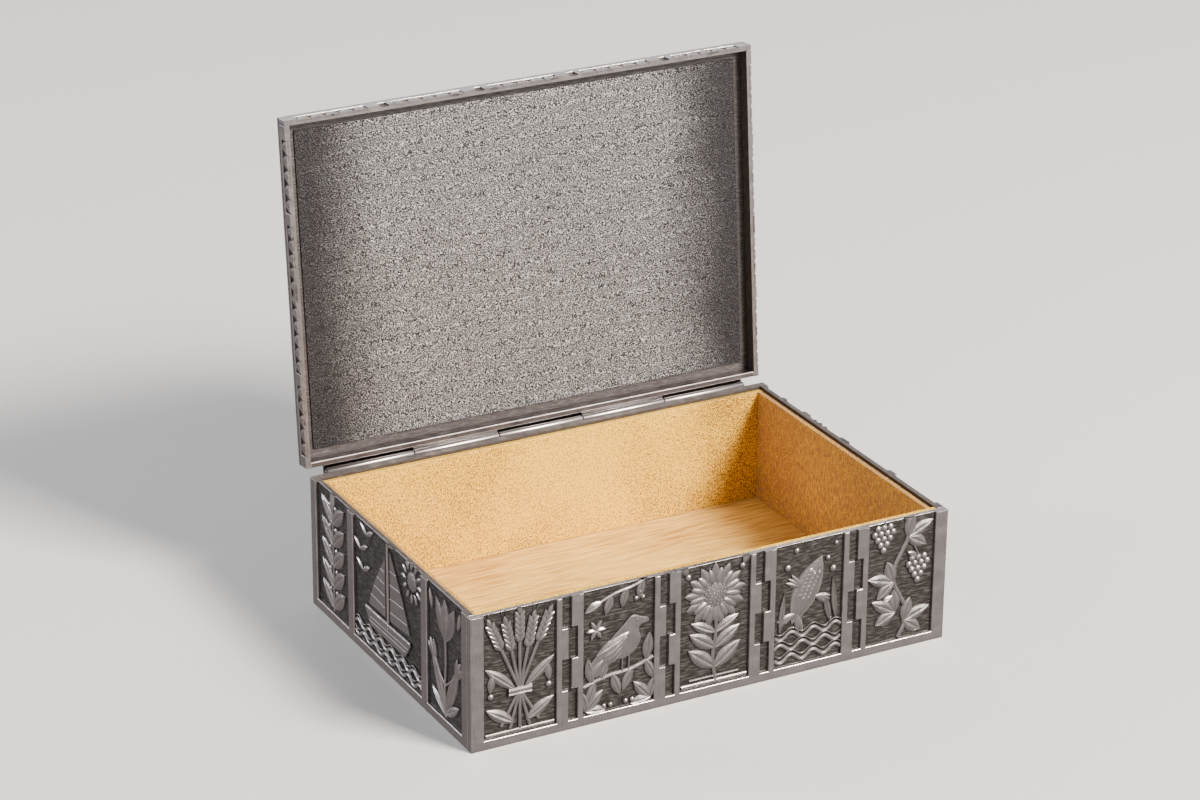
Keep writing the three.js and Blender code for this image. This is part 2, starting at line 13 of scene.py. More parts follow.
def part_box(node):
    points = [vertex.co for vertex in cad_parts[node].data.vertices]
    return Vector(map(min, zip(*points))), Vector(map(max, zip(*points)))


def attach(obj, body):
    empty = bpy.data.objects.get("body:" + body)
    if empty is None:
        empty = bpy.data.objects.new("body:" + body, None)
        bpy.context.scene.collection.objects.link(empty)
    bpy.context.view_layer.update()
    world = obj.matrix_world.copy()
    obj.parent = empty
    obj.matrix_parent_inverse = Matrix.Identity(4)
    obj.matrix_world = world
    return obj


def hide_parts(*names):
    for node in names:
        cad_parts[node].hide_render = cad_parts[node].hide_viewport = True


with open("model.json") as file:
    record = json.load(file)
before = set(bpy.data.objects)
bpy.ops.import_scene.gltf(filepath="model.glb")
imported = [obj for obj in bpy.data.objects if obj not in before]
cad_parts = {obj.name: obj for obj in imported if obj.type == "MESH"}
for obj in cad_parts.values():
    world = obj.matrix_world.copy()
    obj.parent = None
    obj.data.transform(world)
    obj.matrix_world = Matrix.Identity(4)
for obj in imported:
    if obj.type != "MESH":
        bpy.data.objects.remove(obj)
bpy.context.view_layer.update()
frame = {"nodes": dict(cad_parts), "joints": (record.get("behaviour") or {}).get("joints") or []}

bl_info = {
    "name": "Keepsake Box",
    "version": (1, 0, 0),
    "blender": (4, 5, 0),
    "location": "View3D > Sidebar > Keepsake",
    "description": "Builds the looks of a hinged, wood-lined metal keepsake box with relief panels",
    "category": "Object",
}

MM = 0.001

# Places read from the frame
HINGE = frame["joints"][0]
HINGE_POINT = Vector(HINGE["pos_m"])
OPEN_TURN = Matrix.Rotation(math.radians(-HINGE["range_deg"][0]), 4, Vector(HINGE["axis"]))
LID_OPENING = Matrix.Translation(HINGE_POINT) @ OPEN_TURN @ Matrix.Translation(-HINGE_POINT)

# Camera fitted to the box's corners in the photograph, its angles in degrees
VIEW_POINT = (-523.62 * MM, -948.15 * MM, 543.55 * MM)
VIEW_AZIMUTH = -28.458
VIEW_ELEVATION = 23.372
VIEW_ROLL = 0.467
VIEW_FOCAL_PIXELS = 3828.5
VIEW_WIDTH_PIXELS = 1200
SENSOR_WIDTH = 36.0

# A dark flag in the world where the left wall mirrors it in that view: the way to it, the cosines of the
# angles from there at which it begins and is full, and the share of light that it leaves
FLAG_TOWARDS = (-0.437, 0.807, -0.397)
FLAG_EDGE = (0.9, 0.985)
FLAG_LIGHT = 0.4

# Brightness of the world at the horizon, straight below and overhead
HORIZON, NADIR, ZENITH = 1.1, 0.58, 0.4

# The pale floor's width, and how far below the box it lies
FLOOR_WIDTH = 8
FLOOR_DROP = 0.05 * MM

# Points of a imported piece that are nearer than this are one
WELD = 0.001 * MM

# Relief forms one wide and one high: how far they reach below the ground, how much wider their foot is, where
# a blade's heel lies, the heights of its ribs from its middle line to its edge, and how near points are one
SUNK = 0.3
FOOT_SPREAD = 1.16
LEAF_HEEL = -0.07
LEAF_RIBS = (0.7, 1.0, 0.84, 0.5)
PETAL_RIBS = (1.0, 0.86, 0.48)
MERGE = 1e-4

# Plates: the spare height that is trimmed off, the frame's rounding as a share of the relief, the chamfer of
# the trimmed rims, and how near its height a face of a trimmed end lies
PLATE_TRIM = 1.0 * MM
EASE = 0.34
RIM_EASE = 0.3 * MM
FLAT = 0.01 * MM

# How bright other faces of a plate are, from 0, dark, to 1: its back, a wall's top edge, a skirt's rim; they
# are painted shade, set darker than rubbed metal for the dim studio that they mirror
BACK_PAINTED_SHADE_LIFT = 0.26
WALL_TOP_PAINTED_SHADE_LIFT = 0.3
SKIRT_RIM_PAINTED_SHADE_LIFT = 0.4

# Angles in degrees: between faces in one plane, at edges that are rounded, and up to which shading is smooth
COPLANAR = 1
SHARP = 32
SMOOTH_RELIEF = 34
SMOOTH_SHEET = 40

# Sides of the box: the turn about the vertical that carries a front plate there
FRONT, BACK, LEFT, RIGHT = 0, 180, -90, 90

# The two sides of a middle line
SIDES = (-1, 1)

# Where most values of a noise texture lie
NOISE_SPAN = (0.3, 0.7)


# Settings

def millimetres(name, description, size):
    return FloatProperty(
        name=name, description=description, default=size * MM, min=0.0, unit="LENGTH", precision=5,
    )


def linear(code):
    """An sRGB hex colour as linear red, green, blue and alpha."""
    shares = [int(code[i:i + 2], 16) / 255 for i in (1, 3, 5)]
    return [s / 12.92 if s <= 0.04045 else ((s + 0.055) / 1.055) ** 2.4 for s in shares] + [1.0]


def colour(name, description, code):
    return FloatVectorProperty(
        name=name, description=description, default=linear(code), size=4, subtype="COLOR",
    )


class KeepsakeSizes(bpy.types.PropertyGroup):
    wall_relief: millimetres("Wall relief", "Depth of the ground below a wall's frame", 1.0)
    skirt_relief: millimetres("Skirt relief", "Depth of the ground below a lid skirt's frame", 0.7)
    top_relief: millimetres("Top relief", "Depth of the ground below the lid top's frame", 0.5)
    front_stile: millimetres("Front stile", "Width of the frame at the ends of the front and back", 4.4)
    side_stile: millimetres("Side stile", "Width of the frame at the ends of a side", 4.0)
    bottom_rail: millimetres("Bottom rail", "Height of the frame along the foot of the walls", 3.0)
    lid_rail: millimetres("Lid rail", "Height of the frame along the top of the skirts", 1.0)
    key_width: millimetres("Key strip", "Width of a stepped-key strip", 9.0)
    key_step: millimetres("Key step", "Height of one step of the key", 10.3)
    key_wide: millimetres("Key wide", "Width of a key bar at its broad steps", 4.0)
    key_narrow: millimetres("Key narrow", "Width of a key bar at its slim steps", 1.9)
    side_bar: millimetres("Side bar", "Width of the plain bars on a side", 4.0)
    side_middle: millimetres("Side middle", "Width of the middle field of a side", 48.0)
    back_band: millimetres("Back band", "Height of the plain band under the hinge", 10.0)
    top_border: millimetres("Top border", "Width of the frame round the lid top", 4.4)
    top_middle: millimetres("Top middle", "Width of the middle field of the lid top", 70.0)
    barrel: millimetres("Barrel", "Thickness of the hinge barrel", 2.5)
    arris: millimetres("Arris", "Rounding of the base plate's edges", 0.16)
    lip: millimetres("Lip", "Rounding of the edges of the lid's plain sheets", 0.26)
    board_arris: millimetres("Board arris", "Rounding of the boards' edges", 0.22)
    hinge_arris: millimetres("Hinge arris", "Rounding of the hinge's edges", 0.14)


class KeepsakeColours(bpy.types.PropertyGroup):
    metal: colour("Metal", "Rubbed silvered faces", "#c4bcbc")
    patina: colour("Patina", "Darkened ground of the relief", "#25201f")
    hinge: colour("Hinge", "Drawn metal of the hinge", "#a59e9d")
    pebble: colour("Pebble", "Crowns of the pebbled sheet", "#dddbdc")
    pebble_valley: colour("Pebble valley", "Valleys of the pebbled sheet", "#2f2d30")
    side_wood: colour("Side wood", "Light figure of the side boards", "#fbc63c")
    side_wood_fleck: colour("Side wood fleck", "Flecks of the side boards", "#6e4418")
    # Painted shade: the end boards' browner, darker wood stands for the shade on the board that faces away
    # from the key light
    side_wood_painted_shade: colour("Side wood, deep", "Browner wood of the two end boards", "#8c654e")
    floor_wood: colour("Floor wood", "Light figure of the floor board", "#f6cb70")
    floor_wood_line: colour("Floor wood line", "Grain lines of the floor board", "#b0792f")
    floor: colour("Floor", "The plain pale floor", "#d0cfcd")


# Mesh helpers

def turned(angle, axis):
    """A turn by an angle in degrees."""
    return Matrix.Rotation(math.radians(angle), 4, axis)


def deselect():
    bpy.ops.object.select_all(action="DESELECT")


def pick(piece):
    deselect()
    piece.select_set(True)
    bpy.context.view_layer.objects.active = piece


def edit(piece):
    pick(piece)
    bpy.ops.object.mode_set(mode="EDIT")
    bpy.ops.mesh.select_all(action="SELECT")


def leave_edit():
    bpy.ops.object.mode_set(mode="OBJECT")


def apply_transform():
    bpy.ops.object.transform_apply(location=True, rotation=True, scale=True)


def add_block(name, low, high):
    """A block between two corners, its place in its mesh."""
    deselect()
    low, high = Vector(low), Vector(high)
    bpy.ops.mesh.primitive_cube_add(size=1, location=(low + high) / 2, scale=high - low)
    apply_transform()
    block = bpy.context.object
    block.name = name
    return block


def apply_modifier(piece, kind, **settings):
    """Adds a modifier with its settings and applies it."""
    pick(piece)
    bpy.ops.object.modifier_add(type=kind)
    modifier = piece.modifiers[-1]
    for key, value in settings.items():
        setattr(modifier, key, value)
    bpy.ops.object.modifier_apply(modifier=modifier.name)


def ease_edges(piece, width, segments=2):
    """Rounds every sharp edge of a piece."""
    angle = math.radians(SHARP)
    apply_modifier(piece, "BEVEL", width=width, segments=segments, limit_method="ANGLE", angle_limit=angle)


def smooth(piece, angle):
    pick(piece)
    bpy.ops.object.shade_smooth_by_angle(angle=math.radians(angle))


def smooth_edges(piece, angle):
    """Shades a piece smooth up to an angle, with its broad faces kept flat."""
    smooth(piece, angle)
    apply_modifier(piece, "WEIGHTED_NORMAL", weight=100, keep_sharp=True)


def take_mesh(piece):
    """Removes a scratch object and returns its mesh."""
    mesh = piece.data
    bpy.data.objects.remove(piece)
    return mesh


def put_in_order(piece):
    """Sorts a mesh's points and faces by place, because edit tools leave them in another order each run."""
    mesh = piece.data
    points = sorted(mesh.vertices, key=lambda point: [round(share, 8) for share in point.co])
    order = {point.index: i for i, point in enumerate(points)}
    places = [point.co.copy() for point in points]
    faces = []
    for face in mesh.polygons:
        corners = [order[i] for i in face.vertices]
        first = corners.index(min(corners))
        faces.append(corners[first:] + corners[:first])
    mesh.clear_geometry()
    mesh.from_pydata(places, [], sorted(faces))


def mark_faces(piece, name, value_of):
    """Stores a number on each face of a piece."""
    marks = piece.data.attributes.new(name, "FLOAT", "FACE").data
    for face in piece.data.polygons:
        marks[face.index].value = value_of(face)


def settle(piece, body, maker, node):
    """Gives a finished piece its material and its body, and hides the node that it stands for."""
    piece.data.materials.clear()
    piece.data.materials.append(finish_of(maker))
    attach(piece, body)
    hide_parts(node)


def shut_box(node):
    """The corners of a lid node with the lid shut."""
    closing = LID_OPENING.inverted()
    points = [closing @ v.co for v in frame["nodes"][node].data.vertices]
    low = Vector(min(p[i] for p in points) for i in range(3))
    high = Vector(max(p[i] for p in points) for i in range(3))
    return low, high


# Relief forms, each one long, one wide and one high, modelled once and copied

def close_foot(piece):
    """Cuts a form off a little below the ground, closes it there and returns its mesh."""
    edit(piece)
    bpy.ops.mesh.bisect(plane_co=(0, 0, -SUNK), plane_no=(0, 0, 1), use_fill=True, clear_inner=True)
    leave_edit()
    return take_mesh(piece)


def make_blade(ribs):
    """A pointed blade along x; the ribs are its heights from its middle line to its edge."""
    stations = 8
    across = len(ribs) - 1
    deselect()
    bpy.ops.mesh.primitive_grid_add(x_subdivisions=stations, y_subdivisions=2 * across, size=1)
    blade = bpy.context.object
    for point in blade.data.vertices:
        along = point.co.x + 0.5
        side = 2 * point.co.y
        rib = ribs[round(abs(side) * across)]
        breadth = 4 * along * (1 - along)
        point.co.x = LEAF_HEEL * (1 - along) ** 2 + 0.9 * along * (1 - along) + along ** 2
        point.co.y = side * breadth / 2
        point.co.z = ribs[-1] + (rib - ribs[-1]) * math.sqrt(breadth)
    edit(blade)
    bpy.ops.mesh.remove_doubles(threshold=MERGE)
    bpy.ops.mesh.select_all(action="SELECT")
    bpy.ops.mesh.region_to_loop()
    drop = (0, 0, -ribs[-1] - SUNK)
    bpy.ops.mesh.extrude_region_move(TRANSFORM_OT_translate={"value": drop})
    bpy.ops.mesh.edge_face_add()
    leave_edit()
    for point in blade.data.vertices:
        if point.co.z < 0:
            point.co.y *= FOOT_SPREAD
    return take_mesh(blade)


def make_dome(segments, rings):
    """A low dome of radius one and height one."""
    deselect()
    bpy.ops.mesh.primitive_uv_sphere_add(segments=segments, ring_count=rings, radius=1)
    return close_foot(bpy.context.object)


def make_bar():
    """A half-round bar along x."""
    deselect()
    half, along_x = 0.5, (0, math.pi / 2, 0)
    bpy.ops.mesh.primitive_cylinder_add(
        vertices=12, radius=half, depth=1, location=(half, 0, 0), rotation=along_x,
    )
    piece = bpy.context.object
    piece.scale = (1 / half, 1, 1)
    apply_transform()
    return close_foot(piece)


@cache
def form(name):
    """A relief form's mesh, made at its first use."""
    makers = {
        "leaf": lambda: make_blade(LEAF_RIBS),
        "petal": lambda: make_blade(PETAL_RIBS),
        "dome": lambda: make_dome(16, 10),
        "seed": lambda: make_dome(8, 6),
        "bar": make_bar,
    }
    return makers[name]()


def stand(name, u, v, angle, length, width, rise=0.9):
    """A copy of a form at u, v, turned by an angle in degrees, with its rise as a share of the relief."""
    size = Matrix.Diagonal((length, width, rise, 1))
    return form(name), Matrix.Translation((u, v, 0)) @ turned(angle, "Z") @ size


leaf = partial(stand, "leaf")
petal = partial(stand, "petal")


def bar(u, v, angle, length, width, rise=0.72):
    return stand("bar", u, v, angle, length, width, rise)


def dome(u, v, radius, rise=0.9):
    return stand("dome", u, v, 0, radius, radius, rise)


def seed(u, v, radius, rise=0.96):
    return stand("seed", u, v, 0, radius, radius, rise)


def mirrored(*forms):
    """Forms on both sides of a field's middle line, leaning outwards from upright by an angle in degrees."""
    items = []
    for maker, u, v, lean, *sizes in forms:
        items += [maker(side * u, v, 90 - side * lean, *sizes) for side in SIDES]
    return items


def polar(u, v, radius, angle):
    """The place at a radius from u, v along an angle in degrees."""
    turn = math.radians(angle)
    return u + radius * math.cos(turn), v + radius * math.sin(turn)


def ring(maker, heart, radius, count, start, *sizes):
    """Forms that point outwards round a heart, the first of them at an angle in degrees."""
    turns = [start + 360 * i / count for i in range(count)]
    return [maker(*polar(*heart, radius, turn), turn, *sizes) for turn in turns]


def curve_mesh(points, cyclic, handles, shape):
    """The mesh of a curve through points, with the curve's settings from shape."""
    curve = bpy.data.curves.new("outline", "CURVE")
    for key, value in shape.items():
        setattr(curve, key, value)
    spline = curve.splines.new("BEZIER")
    spline.bezier_points.add(len(points) - 1)
    spline.use_cyclic_u = cyclic
    for knot, (u, v) in zip(spline.bezier_points, points):
        knot.co = (u, v, 0)
        knot.handle_left_type = knot.handle_right_type = handles
    piece = bpy.data.objects.new("outline", curve)
    bpy.context.scene.collection.objects.link(piece)
    pick(piece)
    bpy.ops.object.convert(target="MESH")
    piece = bpy.context.object
    edit(piece)
    bpy.ops.mesh.remove_doubles(threshold=MERGE)
    bpy.ops.mesh.normals_make_consistent(inside=False)
    leave_edit()
    return take_mesh(piece)


def plaque(points, rise=0.75, rounding=0.35, handles="AUTO"):
    """A flat-topped shape with an eased rim, inside a closed outline."""
    half = 0.5
    shape = {
        "dimensions": "2D", "fill_mode": "BOTH", "resolution_u": 4, "extrude": half - rounding / 2,
        "bevel_depth": rounding / 2, "bevel_resolution": 1, "offset": -rounding / 2,
    }
    raise_up = Matrix.Translation((0, 0, (rise - SUNK) / 2)) @ Matrix.Diagonal((1, 1, rise + SUNK, 1))
    return curve_mesh(points, True, handles, shape), raise_up


def strand(points, width, rise=0.72):
    """A half-round line through points."""
    shape = {
        "dimensions": "3D", "fill_mode": "FULL", "resolution_u": 4,
        "bevel_depth": width / 2, "bevel_resolution": 2, "use_fill_caps": True,
    }
    return curve_mesh(points, False, "AUTO", shape), Matrix.Diagonal((1, 1, 2 * rise / width, 1))


# Motifs, on a grid in millimetres whose u runs from -width/2 to width/2 and whose v runs up from 0. Their
# numbers are places, headings in degrees, lengths and widths, and last the rise as a share of the relief.

TALL_GRID = (24, 44)
WIDE_GRID = (48, 44)
SQUARE_GRID = (24, 30)
MEDALLION_GRID = (70, 104)
LONG_GRID = (34, 104)


def lobed_leaf(u, v, angle, size, leans=(-55, 55, 0), breadth=0.42):
    return [leaf(u, v, angle + lean, size * (0.8 if lean else 1), size * breadth) for lean in leans]


def hanging_leaves(grid):
    """Leaves along the top of a field, of two lengths in turn, that the skirt's edge cuts across."""
    width, height = grid
    count = round(width / 4.4)
    step = width / count
    items = []
    for i in range(count):
        u = -width / 2 + (i + 0.5) * step
        length, rise = (7, 0.84) if i % 2 else (9, 0.92)
        items.append(leaf(u, height + 0.4, 270, length, step * 0.94, rise))
    return items


def water(reach, rows, count, gap, broad, fine):
    """Rows of waves, each a broad line with a fine one above it; a line is its swing and its width."""
    items = []
    steps = 8 * count
    for row, v in enumerate(rows):
        turn = 1 if row % 2 else -1
        for raised, (swing, width) in ((0, broad), (gap, fine)):
            points = []
            for i in range(steps + 1):
                height = turn * swing * math.sin(2 * math.pi * count * i / steps)
                points.append((reach * (2 * i / steps - 1), v + raised + height))
            items.append(strand(points, width))
    return items


def wheat_ear(u, v, heading):
    """Pairs of grains up a stalk, with a grain at the tip and a beard."""
    pairs, step = 5, 1.75
    items = []
    for i in range(pairs):
        foot = polar(u, v, i * step, heading)
        items += [petal(*foot, heading + side * 26, 3.6, 1.7) for side in SIDES]
    tip = polar(u, v, pairs * step, heading)
    items.append(petal(*tip, heading, 3.4, 1.6, 0.95))
    return items + [bar(*tip, heading + side * 9, 5.2, 0.3, 0.4) for side in SIDES]


def wheat_sheaf():
    tie = 14
    items = []
    for lean in (-23, -11.5, 0, 11.5, 23):
        heading = 90 - lean
        reach = 15.5 if lean % 23 == 0 else 13.5
        items += [bar(0, tie, heading, reach + 1, 1.3), bar(0, tie, 270 + lean * 1.3, 12.5, 1.3)]
        items += wheat_ear(*polar(0, tie, reach, heading), heading)
    items += mirrored(
        (leaf, 2.4, 4, 58, 10.4, 3.8), (leaf, 2, tie + 1, 50, 12.4, 3.4, 0.84),
        (petal, 9.8, 15, -8, 6.4, 2.4),
    )
    items += [dome(side * 9.6, 13.6, 1.1) for side in SIDES]
    items += [bar(-11.4, 1, 0, 22.8, 1.2, 0.6), bar(-3.8, tie, 0, 7.6, 2.6, 0.92)]
    return items + [bar(-3.8, tie + side, 0, 7.6, 0.5, 0.98) for side in SIDES]


def bird_on_branch():
    back = [(-10.4, 13.6), (-4.2, 21.8), (1.8, 27.4), (4.8, 29.8), (7.2, 28.9)]
    breast = [(10.4, 26.9), (7.1, 25.6), (7.6, 21), (3.6, 16.6), (-2, 15.6), (-8.6, 11.6)]
    perch = [(-11.8, 9.4), (-4, 11.4), (4, 12), (11.8, 14.4)]
    bough = [(11.9, 42.4), (6, 39.6), (-1, 38.2), (-7, 36)]
    on_perch = ((-8, 10.2, 250), (-2, 11.4, 290), (4.6, 12.2, 245), (9.4, 13.6, 295))
    on_bough = ((8, 40.6, 258), (2.6, 39, 255), (-2.4, 37.6, 250), (-6, 36.4, 205))
    items = [plaque(back + breast, 0.66, 0.9), strand(perch, 1.8), strand(bough, 1.3)]
    items.append(seed(6.1, 28, 0.62, 0.98))
    for i, heading in enumerate((206, 213, 221, 230)):
        items.append(leaf(3.4 - 0.5 * i, 24.4 - 1.3 * i, heading, 12.4 - 1.9 * i, 3.2, 0.98 - 0.03 * i))
    items += [petal(-5.2, 17.2, heading, 7.6, 1.7, 0.9) for heading in (216, 224, 232)]
    items += [bar(1.4, 17.5, 268, 6, 0.8), bar(3.6, 18, 268, 6, 0.8)]
    items += [leaf(*place, 7.6, 3.2) for place in on_perch]
    items += [leaf(*place, 6.2, 2.9) for place in on_bough]
    items += [leaf(9.6, 14, 84, 9, 3.6), leaf(-9, 10.4, 100, 8.4, 3.2), leaf(-6, 11, 66, 6, 2.6)]
    items += [dome(*polar(7, 35.6, 1.3, turn), 0.85) for turn in (90, 210, 330)]
    for side in SIDES:
        items += lobed_leaf(side * 10.8, 1.2, 90 + side * 42, 8.4)
        items += [dome(side * u, 1.7, 0.9) for u in (2.6, 4.8)]
    return items + ring(petal, (-7.6, 27.4), 0, 6, 0, 3.6, 1.5)


def flower_head(heart, radius, petals, length, width):
    """Two rings of petals round a heart of seeds set on a growth spiral."""
    items = ring(petal, heart, radius * 0.9, petals, 90, length, width, 0.72)
    items += ring(petal, heart, radius * 0.8, petals, 90 + 180 / petals, length * 0.8, width, 0.88)
    items.append(dome(*heart, radius, 0.8))
    seeds = 40
    golden_angle = 137.508
    for i in range(seeds):
        out = 0.9 * math.sqrt((i + 0.5) / seeds)
        place = polar(*heart, radius * out, i * golden_angle)
        items.append(seed(*place, radius * 0.1, 0.97 - 0.16 * out ** 2))
    return items


def sunflower():
    items = [strand([(0.6, 1), (-0.5, 9), (0.5, 18), (0, 27)], 1.5)]
    items += flower_head((0, 30), 4.6, 13, 6.6, 2.9)
    items += mirrored(
        (leaf, 0, 6, 52, 11.5, 4.8), (leaf, 0, 12.5, 56, 10.5, 4.4), (leaf, 0, 17.6, 62, 9.4, 3.4, 0.84),
        (petal, 9.8, 38.4, 24, 5, 2.6),
    )
    items += [dome(side * 9.4, 37.6, 1.1) for side in SIDES]
    return items + [bar(-11.4, 1.2, 0, 22.8, 1.4), bar(-8.5, 2.9, 0, 17, 0.8, 0.6)]


def leaping_fish():
    heading = 64
    tail = (-5.2, 15.2)
    bubbles = ((8.6, 29.5, 1.2), (6.6, 33.6, 0.9), (-7.6, 33, 1.2), (-4.6, 38.2, 1), (9.4, 38, 0.8))
    reeds = ((10, 96, 15), (8, 104, 10), (-10, 84, 13))
    items = [petal(*tail, heading, 22, 9, 0.82)]
    items += [petal(-4.2, 17.4, angle, 7.4, 2, 0.8) for angle in (196, 208, 276, 288)]
    items += [petal(-2.4, 25.5, angle, 6.4, 1.8, 0.75) for angle in (128, 142, 156)]
    items += [petal(2.4, 21.6, angle, 5.8, 1.8, 0.75) for angle in (326, 338, 350)]
    for i in range(7):
        for row in (-1, 0, 1):
            along = 8.4 + 1.35 * i + (0.7 if row else 0)
            foot = polar(*polar(*tail, along, heading), row * 1.5, heading + 90)
            items.append(petal(*foot, heading + 180 - row * 8, 2.7, 2, 0.97 - 0.1 * abs(row)))
    eye = polar(*polar(*tail, 18.6, heading), 0.7, heading - 90)
    gill = []
    for side in (-1, 0, 1):
        gill.append(polar(*polar(*tail, 16.6 - 0.7 * abs(side), heading), side * 2, heading + 90))
    items += [seed(*eye, 0.6, 0.97), strand(gill, 0.55, 0.97)]
    items += water(11.8, (2.6, 6.4, 10.2), 3, 1.7, (1.1, 1.5), (0.9, 0.5))
    items += [dome(*bubble) for bubble in bubbles]
    return items + [leaf(u, 12, angle, length, 2) for u, angle, length in reeds]


def grape_vine():
    stem = [(2.6 * math.sin(math.pi * i / 3), 0.6 + 43 * i / 9) for i in range(10)]
    buds = ((-2.6, 15.4, 205), (2.5, 29, 330), (0.5, 42.4, 100))
    items = [strand(stem, 1.8)]
    for place in ((1.8, 6, 20), (-2.4, 20, 165), (2.4, 34.4, 25), (-1.6, 9.6, 150)):
        items += lobed_leaf(*place, 9.8)
    for side, top in ((1, 26.5), (-1, 39)):
        items.append(bar(side * 6.4, top + 0.8, 90 + side * 25, 4, 0.8))
        for row, count in enumerate((3, 4, 3, 2, 1)):
            for i in range(count):
                u = side * 6.4 + (i - (count - 1) / 2) * 2.2
                items.append(dome(u, top - row * 1.9, 1.25, 0.96 - 0.05 * (i % 2)))
    return items + [leaf(*place, 4.6, 2) for place in buds]


def tulip():
    items = [strand([(0.4, 0.6), (-0.4, 10), (0.3, 19), (0, 27)], 1.4), petal(0, 26, 90, 13.4, 5.8, 0.94)]
    items += mirrored(
        (petal, 0.4, 26, 26, 13.5, 5.4, 0.78), (leaf, 0, 2, 27, 21, 4.8), (leaf, 0, 1.4, 58, 11, 3.2),
        (petal, 7, 16.4, 48, 7, 2.6, 0.78), (petal, 7, 16.4, 10, 7, 2.6, 0.78),
        (petal, 7, 16.4, 29, 7.4, 2.8, 0.92), (petal, 9, 33, 14, 6, 2),
    )
    return items + [strand([(0, 11), (side * 4, 14), (side * 7.2, 17)], 1) for side in SIDES]


def laurel(grid, pairs):
    width, height = grid
    step = (height - 8) / pairs
    items = [bar(0, 1, 90, height - 8, 1.2), leaf(0, height - 9, 90, 8, 3.4)]
    for i in range(pairs):
        fork = 4.4 + i * step
        items += mirrored(
            (leaf, 0, 2 + i * step, 50, width * 0.46, 5), (bar, 0, fork, 36, step * 0.45, 0.5, 0.6),
        )
        items += [dome(*polar(0, fork, step * 0.55, 90 - side * 36), 1.05) for side in SIDES]
    return items


def sailing_boat():
    hull = [(-12, 8), (12.4, 8), (16.4, 13.6), (-16, 13)]
    pennant = [(0.3, 39.6), (7, 41.2), (0.3, 42.8)]
    main_sail = [(2, 15.4), (15.6, 16.4), (10, 27), (2, 38.6)]
    jib = [(-1.4, 35), (-8.6, 25), (-13.4, 15.2), (-1.4, 15.4)]
    sun = (17, 35)
    items = [plaque(outline, 0.8, 0.3, "VECTOR") for outline in (hull, pennant)]
    items += [plaque(sail, 0.7, 0.3, "VECTOR") for sail in (main_sail, jib)]
    items += [bar(-13 + i, 9.6 + 1.5 * i, 1, 26 + 0.6 * i, 0.35, 0.9) for i in range(2)]
    items += [bar(2.2, 18.6 + 4.6 * i, 4, 12 - 2.5 * i, 0.35, 0.84) for i in range(4)]
    items += [bar(-1.6, 18.4 + 4 * i, 176, 10 - 2.4 * i, 0.35, 0.84) for i in range(4)]
    items += [bar(0.3, 12, 90, 31, 1.2, 0.95), bar(-15.6, 13.4, 1, 31.6, 0.8, 0.95), dome(*sun, 3.4, 0.8)]
    items += ring(petal, sun, 3.9, 12, 0, 3.4, 1.5, 0.8)
    items += water(23.6, (1.8, 5), 6, 1.6, (0.9, 1.4), (0.8, 0.5))
    for gull in ((-14.6, 37.4), (-19, 31), (-17.4, 24.6)):
        items += [petal(*gull, heading, 5.4, 1.8) for heading in (28, 152)]
    return items


def rosette(grid, petals, reach):
    heart = (0, grid[1] / 2)
    start = reach * 0.17
    items = ring(leaf, heart, start, petals, 90, reach - start, 2.9 * reach / petals, 0.9)
    items += ring(petal, heart, start, petals, 90 + 180 / petals, reach * 0.6, reach * 0.2, 0.54)
    items.append(dome(*heart, reach * 0.25, 0.9))
    for turn in range(0, 360, 45):
        items.append(seed(*polar(*heart, reach * 0.16, turn), reach * 0.05, 0.98))
    return items


def square_rosette():
    items = rosette(SQUARE_GRID, 8, 11)
    for place in ((-10.75, 1.856, 45), (10.75, 1.856, 135), (-10.75, 28.144, 315), (10.75, 28.144, 225)):
        items += lobed_leaf(*place, 4.4)
    return items


def medallion():
    heart = (0, MEDALLION_GRID[1] / 2)
    rays = 20
    items = rosette(MEDALLION_GRID, 12, 24) + ring(petal, heart, 26, rays, 180 / rays, 7.4, 2.8)
    items += [dome(*polar(*heart, 26.4, 360 * i / rays), 0.7) for i in range(rays)]
    for u, v, angle in ((-31, 4, 56), (31, 4, 124), (-31, 100, 304), (31, 100, 236)):
        items += lobed_leaf(u, v, angle, 20, (-58, -29, 58, 29, 0), 0.24)
        items += [dome(*polar(u, v, 17, angle + side * 14), 1.2) for side in SIDES]
    return items


# Relief plates, modelled face up: u across, v up, and the frame's face at w = 0

def fill(field, grid, items, relief, edged):
    """Fits a motif into a field given by its two corners; an edged one also has leaves along its top."""
    (u0, v0), (u1, v1) = field
    if edged:
        items = items + hanging_leaves(grid)
    fit = Matrix.Translation(((u0 + u1) / 2, v0, -relief))
    fit = fit @ Matrix.Diagonal(((u1 - u0) / grid[0], (v1 - v0) / grid[1], relief, 1))
    return [(mesh, fit @ place) for mesh, place in items]


def key_groove(sizes, u, bottom, top):
    """The zigzag groove between two interlocking stepped bars, as one cell for each step."""
    cells = []
    half = sizes.key_width / 2
    for i in range(math.ceil((top - bottom) / sizes.key_step)):
        low = bottom + i * sizes.key_step
        high = min(low + sizes.key_step, top)
        left, right = (sizes.key_narrow, sizes.key_wide) if i % 2 else (sizes.key_wide, sizes.key_narrow)
        cells.append(((u - half + left, low), (u + half - right, high)))
    return cells


def gather(name, items, v_span):
    """One mesh object of all the ornament, trimmed to the plate's height."""
    whole = bmesh.new()
    for mesh, place in items:
        copy = mesh.copy()
        copy.transform(place)
        whole.from_mesh(copy)
        bpy.data.meshes.remove(copy)
    for v, outward in zip(v_span, SIDES):
        everything = whole.verts[:] + whole.edges[:] + whole.faces[:]
        bmesh.ops.bisect_plane(
            whole, geom=everything, plane_co=(0, v, 0), plane_no=(0, outward, 0), clear_outer=True,
        )
        bmesh.ops.holes_fill(whole, edges=[e for e in whole.edges if e.is_boundary])
    bmesh.ops.recalc_face_normals(whole, faces=whole.faces)
    mesh = bpy.data.meshes.new(name)
    whole.to_mesh(mesh)
    whole.free()
    piece = bpy.data.objects.new(name, mesh)
    bpy.context.scene.collection.objects.link(piece)
    return piece


